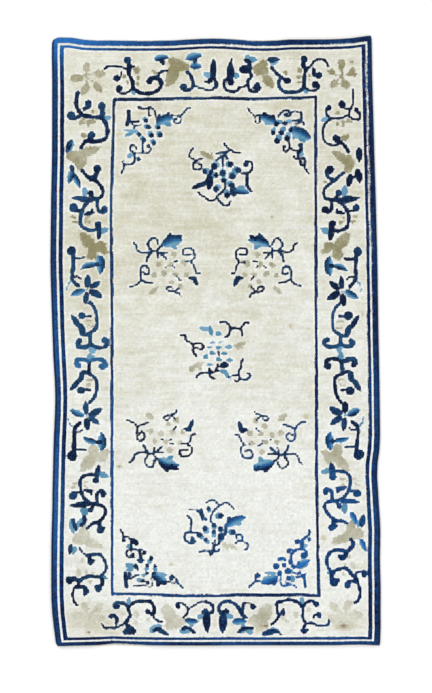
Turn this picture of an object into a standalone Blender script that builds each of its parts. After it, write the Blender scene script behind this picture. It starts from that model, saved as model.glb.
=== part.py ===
# Old Peking rug, hand knotted in one piece, lying flat on its back.
# +Z is up. The width runs along X and the length along +Y, which is up in a plan view.
# The origin is the middle of the rug's box, at floor level.
# Sizes here are in millimetres and become metres where a point of the mesh is placed.
import bpy
import bmesh
from math import exp

# Driving sizes
LENGTH = 1285.0
WIDTH = 695.0
WEB = 2.6            # thickness of the cotton warps and wefts alone, as they show at the two ends
EDGE_CORD = 5.2      # thickness of the overcast cord along each side
PILE_TOP = 10.5      # thickness with the standing pile
METRES = 0.001       # metres in a millimetre

# Columns and rows of the top face between its shaped margins
INNER_COLUMNS = 24
INNER_ROWS = 44

# How the top face climbs with the distance in from each long side: first the edge warps,
# overcast as a round cord, then the crease behind the cord, then the pile
SIDE_MARGIN = (
    {"inset": 0.0, "height": EDGE_CORD - 2.8},
    {"inset": 0.9, "height": EDGE_CORD - 0.8},
    {"inset": 2.4, "height": EDGE_CORD},
    {"inset": 4.0, "height": EDGE_CORD - 0.3},
    {"inset": 4.8, "height": PILE_TOP - 3.3},
    {"inset": 7.0, "height": PILE_TOP - 1.1},
    {"inset": 12.0, "height": PILE_TOP},
)

# The same for the two ends: a lip of flat cotton web, then the first rows of knots
END_MARGIN = (
    {"inset": 0.0, "height": WEB - 0.4},
    {"inset": 2.6, "height": WEB},
    {"inset": 3.4, "height": PILE_TOP - 4.1},
    {"inset": 5.6, "height": PILE_TOP - 1.3},
    {"inset": 11.0, "height": PILE_TOP},
)

# How far each long side stands in from its straight line, by the distance up from the bottom end.
# The left side narrows to its lower corner, and the right side is drawn in about a third of the way up.
SIDES = (
    {"up": 0, "left": 14.5, "right": 1.5},
    {"up": 6, "left": 11.8, "right": 1.2},
    {"up": 34, "left": 8.0, "right": 0.0},
    {"up": 76, "left": 3.4, "right": 0.3},
    {"up": 118, "left": 1.7, "right": 0.0},
    {"up": 181, "left": 1.7, "right": 1.5},
    {"up": 244, "left": 2.5, "right": 0.5},
    {"up": 286, "left": 4.0, "right": 3.2},
    {"up": 338, "left": 4.4, "right": 6.1},
    {"up": 366, "left": 5.2, "right": 7.7},
    {"up": 401, "left": 6.1, "right": 4.6},
    {"up": 425, "left": 6.6, "right": 1.3},
    {"up": 525, "left": 10.1, "right": 2.1},
    {"up": 622, "left": 5.7, "right": 4.0},
    {"up": 748, "left": 1.5, "right": 6.1},
    {"up": 811, "left": 0.0, "right": 7.1},
    {"up": 937, "left": 1.3, "right": 10.3},
    {"up": 1063, "left": 3.4, "right": 14.1},
    {"up": 1189, "left": 3.6, "right": 17.6},
    {"up": 1262, "left": 2.7, "right": 18.9},
    {"up": 1276, "left": 3.4, "right": 19.3},
    {"up": 1281, "left": 5.5, "right": 19.7},
    {"up": 1285, "left": 9.0, "right": 20.4},
)

# How far each end stands in from its straight line, by the distance across from the left side.
# The top end rises in the middle and runs out to a point at its right corner.
ENDS = (
    {"across": 0, "bottom": 0.6, "top": 6.6},
    {"across": 8, "bottom": 0.0, "top": 4.2},
    {"across": 24, "bottom": 0.0, "top": 2.7},
    {"across": 37, "bottom": 1.0, "top": 3.8},
    {"across": 52, "bottom": 1.2, "top": 7.4},
    {"across": 95, "bottom": 2.4, "top": 10.2},
    {"across": 116, "bottom": 4.0, "top": 10.0},
    {"across": 160, "bottom": 2.6, "top": 10.7},
    {"across": 258, "bottom": 1.4, "top": 10.1},
    {"across": 302, "bottom": 1.3, "top": 7.6},
    {"across": 345, "bottom": 1.5, "top": 5.9},
    {"across": 389, "bottom": 1.9, "top": 7.4},
    {"across": 432, "bottom": 1.9, "top": 10.3},
    {"across": 476, "bottom": 1.9, "top": 10.5},
    {"across": 519, "bottom": 1.9, "top": 8.0},
    {"across": 595, "bottom": 2.0, "top": 7.8},
    {"across": 649, "bottom": 3.4, "top": 5.5},
    {"across": 667, "bottom": 2.4, "top": 2.9},
    {"across": 695, "bottom": 2.0, "top": 0.0},
)

# Places where feet have worn the pile: centre across and up, reach each way and depth
WORN = (
    {"across": 142, "up": 3, "reach_x": 50, "reach_y": 7, "depth": 5.0},
    {"across": 102, "up": 1282, "reach_x": 16, "reach_y": 5, "depth": 2.6},
    {"across": 204, "up": 1282, "reach_x": 34, "reach_y": 5, "depth": 3.2},
    {"across": 447, "up": 1282, "reach_x": 48, "reach_y": 5, "depth": 3.0},
)

WOOL_COLOUR = (0.62, 0.60, 0.53, 1.0)
WOOL_ROUGHNESS = 0.92


def clear_scene():
    for thing in list(bpy.data.objects):
        bpy.data.objects.remove(thing, do_unlink=True)


def slope_at(rows, place, value, i):
    """Slope at row i: level at a peak or a hollow, so the curve never runs past its rows."""
    if i in (0, len(rows) - 1):
        return 0.0
    before = (rows[i][value] - rows[i - 1][value]) / (rows[i][place] - rows[i - 1][place])
    after = (rows[i + 1][value] - rows[i][value]) / (rows[i + 1][place] - rows[i][place])
    return 0.0 if before * after <= 0 else 2 * before * after / (before + after)


def read_curve(rows, place, value, at):
    """Value of a smooth curve through the table's rows, at one place along it."""
    at = min(max(at, rows[0][place]), rows[-1][place])
    i = next(k for k in range(1, len(rows)) if at <= rows[k][place]) - 1
    span = rows[i + 1][place] - rows[i][place]
    t = (at - rows[i][place]) / span
    start, end = rows[i][value], rows[i + 1][value]
    pull_in = slope_at(rows, place, value, i) * span
    pull_out = slope_at(rows, place, value, i + 1) * span
    return ((1 + 2 * t) * (1 - t) ** 2 * start + t * (1 - t) ** 2 * pull_in
            + t * t * (3 - 2 * t) * end + t * t * (t - 1) * pull_out)


def stations(length, margin, inner):
    """Distances along one side: the margin's insets from both ends and even steps between."""
    insets = [row["inset"] for row in margin]
    first, last = insets[-1], length - insets[-1]
    even = [first + (last - first) * k / inner for k in range(1, inner)]
    return insets + even + [length - inset for inset in reversed(insets)]


def climb(margin, inset):
    """Height of the top face at a distance in from an edge."""
    if inset >= margin[-1]["inset"]:
        return margin[-1]["height"]
    return read_curve(margin, "inset", "height", inset)


def wear(across, up):
    """Depth of pile that is worn away at one place."""
    return sum(
        spot["depth"]
        * exp(-((across - spot["across"]) / spot["reach_x"]) ** 4)
        * exp(-((up - spot["up"]) / spot["reach_y"]) ** 2)
        for spot in WORN
    )


def place_on_rug(across, up):
    """Point of the top face, in metres, for a place on a rug with straight sides."""
    share_x, share_y = across / WIDTH, up / LENGTH
    left = read_curve(SIDES, "up", "left", up)
    right = read_curve(SIDES, "up", "right", up)
    bottom = read_curve(ENDS, "across", "bottom", across)
    top = read_curve(ENDS, "across", "top", across)
    x = across - WIDTH / 2 + (1 - share_x) * left - share_x * right
    y = up - LENGTH / 2 + (1 - share_y) * bottom - share_y * top
    from_side = climb(SIDE_MARGIN, min(across, WIDTH - across))
    from_end = climb(END_MARGIN, min(up, LENGTH - up))
    height = max(min(from_side, from_end) - wear(across, up), END_MARGIN[0]["height"])
    return x * METRES, y * METRES, height * METRES


def build_rug():
    """A grid shaped as the top face, extruded down to one flat underside."""
    columns = stations(WIDTH, SIDE_MARGIN, INNER_COLUMNS)
    rows = stations(LENGTH, END_MARGIN, INNER_ROWS)
    bm = bmesh.new()
    bmesh.ops.create_grid(bm, x_segments=len(columns) - 1, y_segments=len(rows) - 1, size=0.5)
    for vertex in bm.verts:
        column = round((vertex.co.x + 0.5) * (len(columns) - 1))
        row = round((vertex.co.y + 0.5) * (len(rows) - 1))
        vertex.co = place_on_rug(columns[column], rows[row])
    rim = [edge for edge in bm.edges if edge.is_boundary]
    skirt = bmesh.ops.extrude_edge_only(bm, edges=rim)["geom"]
    for vertex in (part for part in skirt if isinstance(part, bmesh.types.BMVert)):
        vertex.co.z = 0.0
    bmesh.ops.contextual_create(bm, geom=[edge for edge in bm.edges if edge.is_boundary])
    bmesh.ops.recalc_face_normals(bm, faces=bm.faces[:])
    mesh = bpy.data.meshes.new("rug")
    bm.to_mesh(mesh)
    bm.free()
    mesh.shade_smooth()
    return bpy.data.objects.new("rug", mesh)


def wool_material():
    material = bpy.data.materials.new("cream_wool_pile")
    material.use_nodes = True
    shader = material.node_tree.nodes["Principled BSDF"]
    shader.inputs["Base Color"].default_value = WOOL_COLOUR
    shader.inputs["Roughness"].default_value = WOOL_ROUGHNESS
    shader.inputs["Metallic"].default_value = 0.0
    return material


def main():
    clear_scene()
    collection = bpy.data.collections.new("peking_rug")
    bpy.context.scene.collection.children.link(collection)
    rug = build_rug()
    rug.data.materials.append(wool_material())
    collection.objects.link(rug)


main()
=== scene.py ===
# Old Peking rug lying flat: knotted wool pile on a cotton ground, overcast sides and bare cotton ends.
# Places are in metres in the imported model's frame. The figures are drawn in knots from the rug's middle.
import bpy
import numpy as np
from functools import partial
from math import atan2, pi, radians
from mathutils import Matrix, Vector
from mathutils.bvhtree import BVHTree


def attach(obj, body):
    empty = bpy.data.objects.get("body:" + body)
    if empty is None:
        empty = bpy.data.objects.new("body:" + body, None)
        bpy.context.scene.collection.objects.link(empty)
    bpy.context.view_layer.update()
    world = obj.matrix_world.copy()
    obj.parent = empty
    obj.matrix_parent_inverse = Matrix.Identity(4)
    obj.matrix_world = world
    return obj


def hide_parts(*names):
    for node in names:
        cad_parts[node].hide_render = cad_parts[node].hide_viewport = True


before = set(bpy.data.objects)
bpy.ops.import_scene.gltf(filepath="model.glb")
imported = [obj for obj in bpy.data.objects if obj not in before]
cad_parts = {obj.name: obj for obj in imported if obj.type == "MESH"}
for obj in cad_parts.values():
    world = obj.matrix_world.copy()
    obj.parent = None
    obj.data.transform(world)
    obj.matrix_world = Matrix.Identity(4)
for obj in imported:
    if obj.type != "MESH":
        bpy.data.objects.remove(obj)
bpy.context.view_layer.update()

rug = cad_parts["rug"]
millimetre = 0.001

weave = {
    "across": 154,            # knots in one row
    "up": 286,                # rows of knots
    "knot": 4.5,              # the cartoon's square knot, mm
    "stepShare": 0.7,         # how much a figure's edge follows whole knots
    "drift": 0.22,            # how far the hand wanders from the cartoon, knots
    "seed": 11,
}


# The weaver's cartoon: every figure is a line, a ball or a leaf.
def line(width, *points, yarn="navy"):
    return {"form": "line", "points": points, "width": width, "yarn": yarn}


def ball(x, y, radius, yarn="navy"):
    return {"form": "ball", "points": ((x, y), (x, y)), "width": 2 * radius, "yarn": yarn}


def leaf(base, tip, width, bow=0.0, yarn="navy", light=None):
    # bow bends the rib to its left, and light names the side of the rib that is knotted in sky blue
    return {"form": "leaf", "points": (base, tip), "width": width, "bow": bow, "yarn": yarn, "light": light}


# The same three shapes in camel and in sky blue yarn
camelLine, camelBall, camelLeaf = (partial(shape, yarn="camel") for shape in (line, ball, leaf))
skyLine, skyBall, skyLeaf = (partial(shape, yarn="sky") for shape in (line, ball, leaf))


def grape(x, y, radius=1.3, light=(-0.5, 0.5)):
    # a navy berry over a sky blue one that shows at its lit side
    shine = skyBall(x + light[0], y + light[1], radius)
    return shine, ball(x - 0.3 * light[0], y - 0.3 * light[1], radius - 0.15)


def row(*things):
    # flattens berries, which are pairs, into one list
    shapes = []
    for thing in things:
        shapes.extend([thing] if isinstance(thing, dict) else thing)
    return shapes


# Figures of the upper left quarter, drawn in their place there. The other quarters mirror them.
figures = {
    "camelSpray": row(
        leaf((-25, 44.8), (-15.2, 47), 4.8, 0.9, light="right"), leaf((-22.5, 46.2), (-20.4, 50.4), 2.4),
        leaf((-19.4, 47), (-15.4, 49.4), 2.2), skyLeaf((-21, 45.6), (-18, 42.8), 2.0),
        line(1.1, (-24.2, 45.3), (-26.4, 43.5), (-27.2, 41.8)),
        line(1.0, (-38.2, 46), (-36.7, 44.7), (-36.3, 42.6), (-34.2, 41.4), (-30, 41.8), (-26.8, 41.8)),
        line(1.0, (-29.5, 42), (-31.3, 44.5), (-31.1, 46.4), (-29.5, 48), (-27.7, 47.5), (-26.8, 45)),
        line(1.2, (-29.8, 41.4), (-31.2, 39.6), (-32.1, 37)), line(0.9, (-27, 41.5), (-26.5, 38.6)),
        line(0.9, (-26.2, 41.2), (-22.5, 41.2)), line(1.0, (-25.6, 40.7), (-23.2, 38.3)),
        line(1.1, (-39.8, 25.5), (-37.4, 26.2), (-35, 28.4), (-35.3, 32), (-34.8, 34.4), (-33, 35),
             (-31.3, 33.8), (-31.2, 31.8), (-32.6, 31.1), (-33.8, 32.1)),
        line(1.0, (-34.9, 28.6), (-32.6, 27.6), (-29.6, 26.8)),
        line(1.0, (-11.5, 40.1), (-14.7, 40.1), (-14.6, 42.9), (-11.6, 43.1), (-10, 41.8), (-9.6, 38.8),
             (-11.3, 37), (-9.9, 34.9), (-9, 32), (-7.4, 31.7)),
        line(0.9, (-14.2, 36.6), (-11.4, 36.8)), leaf((-9.2, 30), (-13.2, 29.2), 1.7),
        leaf((-10.3, 30), (-8.6, 25), 2.0),
        line(1.0, (-20, 24.5), (-21.5, 25.4), (-22.7, 24.3), (-21.6, 23), (-19, 22.9), (-16.9, 24.9)),
        line(1.0, (-18.3, 22.3), (-16.6, 21.8), (-16, 20.6)),
        (camelBall(x, y, 1.25) for x, y in ((-19.5, 40.2), (-26.4, 35.5), (-15, 36.2), (-21.2, 35.5),
         (-28.5, 30.9), (-23.9, 31.6), (-18.6, 31.1), (-13.8, 31), (-20.5, 27.6), (-16.3, 25.2))),
        camelLeaf((-31, 22), (-27, 25), 2.0), line(0.8, (-19.7, 36.5), (-17.8, 37.1)),
        line(0.8, (-23.5, 34.3), (-22.6, 34.8)), line(0.8, (-20, 35), (-19.3, 34.4)),
        line(0.8, (-18.2, 30.2), (-16.6, 28.3)),
    ),
    "cornerFlower": row(
        (camelLeaf(base, tip, 3.2) for base, tip in (((-59.8, 125.6), (-59.9, 130.2)), ((-61.8, 122.7),
         (-68.4, 122.6)), ((-56.4, 124.5), (-51.4, 124.4)), ((-59.8, 119.6), (-62.8, 115)), ((-56.8, 120.6),
         (-52.6, 116.2)))),
        camelLine(0.8, (-59.9, 126.2), (-60, 122), (-60.3, 119.6)),
        camelLine(0.7, (-62, 123), (-59.8, 123.8), (-56, 124.4)),
        camelLine(0.7, (-59.3, 122.2), (-56.4, 120.4)),
    ),
    "cScroll": row(
        line(1.5, (-64.2, 116), (-64.9, 112.5), (-64.7, 109), (-63.2, 106.7), (-61, 105.2), (-57, 104.6),
             (-53.5, 104.2), (-51.6, 102), (-50.7, 99), (-50.8, 95.2), (-52.4, 93.6), (-56.6, 92.9),
             (-60, 93.4), (-61.9, 92), (-62.8, 90.3)),
        ball(-67.4, 105.2, 1.9), line(1.4, (-66.8, 104), (-64.4, 104.6), (-62.4, 105.6)),
        ball(-59.5, 110.8, 1.6), line(1.5, (-58.7, 110), (-59.6, 108.6), (-61.2, 108.3)),
        ball(-53.4, 109.4, 1.8), line(1.9, (-53, 108.4), (-52.9, 104.6)),
        line(1.1, (-52.4, 107.5), (-53.6, 105.2), (-55.4, 104.5)), ball(-57.6, 95.8, 1.9),
        line(1.4, (-58.8, 95), (-59.5, 93.6)), skyLeaf((-53.4, 104.2), (-49, 104.5), 2.4),
        camelBall(-57.3, 107, 0.8), camelLeaf((-61, 104.3), (-63.4, 101), 2.0),
        camelLeaf((-58.7, 103.6), (-59.3, 99.8), 1.7), camelLeaf((-57.4, 103.4), (-56, 101.6), 1.4),
        camelLeaf((-60, 95.4), (-63.2, 96), 1.8),
    ),
    "smallLeaf": row(
        leaf((-66.8, 93.6), (-69.4, 87.6), 2.9, light="left"), leaf((-67.2, 92.6), (-69.6, 87.8), 1.8),
    ),
    "bigTrefoil": row(
        camelLeaf((-61.5, 85.5), (-69.2, 86.6), 5.6), camelLeaf((-64.5, 86.2), (-54, 90.8), 4.2),
        camelLeaf((-63, 88), (-63.2, 79.4), 5.2),
    ),
    "veeLeaves": row(
        leaf((-66.2, 79.4), (-68.6, 73.8), 3.0, -0.4, light="right"), leaf((-66.4, 79), (-67.4, 82), 2.2),
        leaf((-66.6, 78.8), (-63.1, 71.2), 2.6, light="right"),
    ),
    "vineScroll": row(
        line(1.4, (-53.6, 66.4), (-57.8, 65.7), (-60.4, 64), (-62.2, 61.2), (-63, 57.5), (-62.7, 54.2),
             (-60.9, 52.3), (-57.8, 51.4), (-55.8, 51.8)),
        ball(-58.2, 68.8, 1.4), line(1.3, (-57.6, 68), (-57, 66.4)),
        leaf((-57.6, 66), (-68.2, 67), 2.6, 0.3), skyLeaf((-60.9, 67.2), (-60.8, 72.4), 2.8),
        ball(-66.3, 62.2, 1.8), line(1.2, (-66, 60.9), (-62.4, 60.9)),
        line(1.3, (-54.9, 65.8), (-54.9, 61.6), (-53.4, 60.1), (-52, 60.2)), ball(-51.8, 61.4, 1.6),
        leaf((-61.6, 59), (-56, 59.6), 1.6, 0.5), leaf((-58, 59.4), (-57.4, 62.2), 1.4),
        ball(-55.2, 54.6, 1.6), line(2.2, (-55, 54), (-54.6, 51)), leaf((-54.8, 52), (-54.2, 46.8), 2.2),
        skyLeaf((-54.3, 50.6), (-49.9, 52.6), 2.6), camelLine(1.0, (-67, 58.2), (-65.4, 57.8)),
        camelLine(1.0, (-66, 55.5), (-64.6, 55.4)), camelLine(1.0, (-61, 57.2), (-59.6, 58.4)),
        camelLine(1.1, (-60.8, 55.7), (-58.8, 55.3)),
    ),
    "vineTail": row(
        line(1.4, (-62.1, 79.2), (-60, 77), (-57.6, 75.8), (-55.4, 74.6), (-53, 71.8), (-52.4, 68.6),
             (-53.6, 66.4)),
        ball(-55.3, 80.3, 1.8), line(2.0, (-55.4, 79), (-56, 76.8), (-58, 75.6)),
    ),
    "trefoil": row(
        camelLeaf((-56.4, 42.6), (-63, 50.6), 4.8), camelBall(-53.6, 44, 2.5), camelBall(-57.6, 40.2, 2.4),
        camelBall(-57, 43.4, 2.6), camelLeaf((-54, 43), (-49.8, 40.8), 2.6),
    ),
    "ballStem": row(
        ball(-67.4, 42.2, 2.2),
        line(1.5, (-66.5, 40.6), (-66.6, 38.6), (-66.5, 34), (-66.8, 30.6), (-66.4, 28.4), (-64, 26)),
        line(1.2, (-66.4, 39), (-64, 38.6), (-61.4, 39)),
        line(1.0, (-66.6, 30), (-64, 30.2), (-62.8, 29.1)),
        skyLine(0.8, (-67.2, 28.4), (-69, 26.2), (-69.5, 24)),
    ),
    "calyx": row(
        leaf((-55.8, 35.6), (-62.8, 33.4), 2.8, -0.7, light="right"),
        leaf((-54.4, 39.8), (-54.2, 31), 4.0, 0.7, light="right"), leaf((-56.4, 35.8), (-53.6, 35.4), 2.0),
    ),
    "star": row(
        leaf((-59.9, 24.8), (-59.7, 31.4), 2.7), leaf((-58.4, 24.6), (-53.8, 28.4), 2.5),
        leaf((-58.8, 23.4), (-53, 19.8), 3.0, 0.3), leaf((-59.9, 22.8), (-60.7, 16.8), 2.7),
        leaf((-61.2, 24), (-67.8, 20.8), 3.0, light="left"), skyBall(-59.9, 23.8, 0.6),
    ),
    "bracket": row(
        line(1.4, (-58.3, 17.8), (-56.6, 15.6), (-55.5, 12.8), (-55.2, 9), (-55.7, 5.9), (-58, 4),
             (-61, 2.7), (-62.8, 3.6)),
        leaf((-62, 2.4), (-63.8, 8.4), 2.6, -0.3), leaf((-63.8, 6.2), (-67.6, 12.4), 2.2, -0.3),
        ball(-62.5, 12.1, 1.9), line(1.0, (-61.6, 11.4), (-59, 11.7)), ball(-58.7, 11.9, 0.8),
        camelLine(1.0, (-60, 9.7), (-57.8, 9.2)), camelLine(1.0, (-59.8, 6.8), (-57.2, 6.6)),
        line(1.4, (-58.8, 3.4), (-58.5, -1.4)),
    ),
    "doubleCurl": row(
        line(1.8, (-58.4, -1.6), (-60.6, -2.7), (-63.4, -2.7), (-64.6, -0.8)), ball(-63.4, 0, 1.3),
        line(1.6, (-58.2, -1.6), (-56, -2.8), (-53.2, -3), (-51, -1.8), (-50.6, 0.2)),
        ball(-51.9, 0.5, 1.5), skyLeaf((-57.8, -1.6), (-57.2, -6.2), 2.8),
    ),
    "clubScroll": row(
        line(1.2, (-51.9, 126.7), (-50.3, 127.9), (-46, 128), (-42.6, 127.2), (-41, 126.4)),
        ball(-41, 131, 1.9), line(2.2, (-40.8, 130.4), (-40, 128), (-40.2, 125.6)),
        line(1.0, (-40, 127.4), (-37.4, 128)),
        line(1.7, (-41, 127), (-40.3, 124), (-39, 121.6), (-38.9, 118.6)), ball(-46.6, 122.7, 1.4),
        line(1.0, (-46, 121.6), (-44.6, 123), (-44.3, 125.2)), ball(-44.9, 118.2, 1.6),
        line(1.2, (-45.9, 117.2), (-44.2, 115.6), (-41.9, 115.7), (-39, 118.2)),
        line(1.5, (-38.8, 118.4), (-36.8, 116.7), (-33.6, 115.5), (-30.4, 115.5), (-27.4, 116.5),
             (-25.5, 119), (-25.8, 121.6), (-28, 122.9), (-30.2, 122.6)),
        ball(-30.6, 121.4, 1.5), line(1.1, (-26.9, 122.9), (-26.2, 125), (-24.4, 125.9), (-22.7, 126)),
        skyLeaf((-38.6, 117.6), (-37.9, 114.6), 2.0), camelBall(-36.6, 126.2, 1.4),
        camelBall(-36.3, 122.9, 0.9), camelBall(-36.6, 120.2, 1.0), camelBall(-43, 123.4, 0.8),
        camelBall(-41.4, 121.1, 0.6), camelLeaf((-30.2, 126), (-27, 124.4), 1.6),
    ),
    "endLeaf": row(
        leaf((-28.6, 131.4), (-21.6, 132.4), 3.2, 0.5, light="left"),
        leaf((-25.6, 132), (-24.2, 128.6), 2.2),
    ),
    "endTrefoil": row(
        camelBall(-20, 130.2, 2.0), camelBall(-16.8, 129.4, 2.1), camelBall(-18.4, 127.4, 2.5),
        camelLeaf((-18.6, 127.8), (-12.4, 128), 4.4), camelLeaf((-18.6, 128.6), (-22.4, 119), 5.4),
    ),
    "budScroll": row(
        ball(-15.1, 118.6, 1.9),
        line(1.4, (-15, 117), (-12.6, 117), (-10.7, 118.4), (-10.2, 120.8), (-11.1, 123.3), (-13, 125.3)),
        line(1.1, (-10.2, 119.8), (-8.4, 118.7), (-5.6, 118), (-3.4, 117), (-1.2, 117.5), (0.2, 119.4)),
        line(1.5, (0.2, 118.4), (0.2, 120.6), (-0.6, 122.4)), leaf((-1.5, 121.6), (-0.9, 132.2), 3.2),
        ball(-2.6, 121.8, 1.4), line(0.9, (-4.7, 121.2), (-3, 120.4)),
        skyLeaf((-1.8, 123.4), (-5.8, 125), 2.2),
    ),
    "tealLeaves": row(
        leaf((-13.4, 131.4), (-6.4, 133.2), 3.4, 0.7, light="left"), leaf((-10, 132), (-9.6, 129.6), 2.0),
        leaf((-11.8, 128), (-6.7, 127.6), 3.0, 0.5, light="left"),
    ),
}

# Where each figure was drawn, then its place in the other quarters, and how blue each copy's yarn is
quarters = {
    "camelSpray": {"at": (-24, 34), "tr": (23.9, 34), "bl": (-25.7, -45.3), "br": (26.2, -45.8),
                   "blue": (0.25, 0.15, 0.2, 0.25)},
    "cornerFlower": {"at": (-59.6, 123.6), "bl": (-59.6, -129), "br": (60, -128.6), "blue": (0, 0, 0, 0)},
    "cScroll": {"at": (-58, 104), "blue": (0.18,)},
    "smallLeaf": {"at": (-67.6, 91), "blue": (0.12,)},
    "bigTrefoil": {"at": (-63, 85.5), "bl": (-61, -91.6), "br": (63.2, -89.4), "blue": (0, 0, 0, 0)},
    "veeLeaves": {"at": (-66, 77.5), "blue": (0.22,)},
    "vineScroll": {"at": (-57, 66), "tr": (56.2, 66), "bl": (-57.4, -76), "br": (56.6, -74.6),
                   "blue": (0.22, 0.12, 0.22, 0.28)},
    "vineTail": {"at": (-57, 66), "blue": (0.22,)},
    "trefoil": {"at": (-57.5, 43), "tr": (57, 43), "bl": (-57, -53.4), "br": (56.8, -53.6),
                "blue": (0.3, 0.3, 0.3, 0.3)},
    "ballStem": {"at": (-66.6, 35), "tr": (65.4, 34.4), "bl": (-66, -47), "br": (66.2, -46),
                 "blue": (0.24, 0.12, 0.18, 0.22)},
    "calyx": {"at": (-56.2, 35.3), "tr": (55.4, 34.7), "bl": (-55.4, -46.7), "br": (55.8, -46.6),
              "blue": (0.15, 0.12, 0.1, 0.25)},
    "star": {"at": (-59.9, 23.8), "tr": (58.9, 23), "bl": (-60, -34.9), "br": (60, -34.7),
             "blue": (0.24, 0.16, 0.25, 0.22)},
    "bracket": {"at": (-59, 3), "tr": (58.4, 2.6), "bl": (-59.3, -14.5), "br": (59.5, -14.6),
                "blue": (0.36, 0.22, 0.14, 0.18)},
    "doubleCurl": {"at": (-58.4, -1.8), "tr": (58.4, -1.8), "bl": (-59.2, -9.8), "br": (59.2, -9.4),
                   "blue": (0.36, 0.32, 0.65, 0.13)},
    "clubScroll": {"at": (-38.8, 118), "blue": (0.12,)},
    "endLeaf": {"at": (-25, 131.5), "blue": (0.15,)},
    "endTrefoil": {"at": (-18.8, 127), "bl": (-20.4, -130), "br": (21.5, -129.6), "blue": (0, 0, 0, 0)},
    "budScroll": {"at": (-10.3, 119), "blue": (0.14,)},
    "tealLeaves": {"at": (-9.5, 130), "blue": (0.25,)},
}

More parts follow.
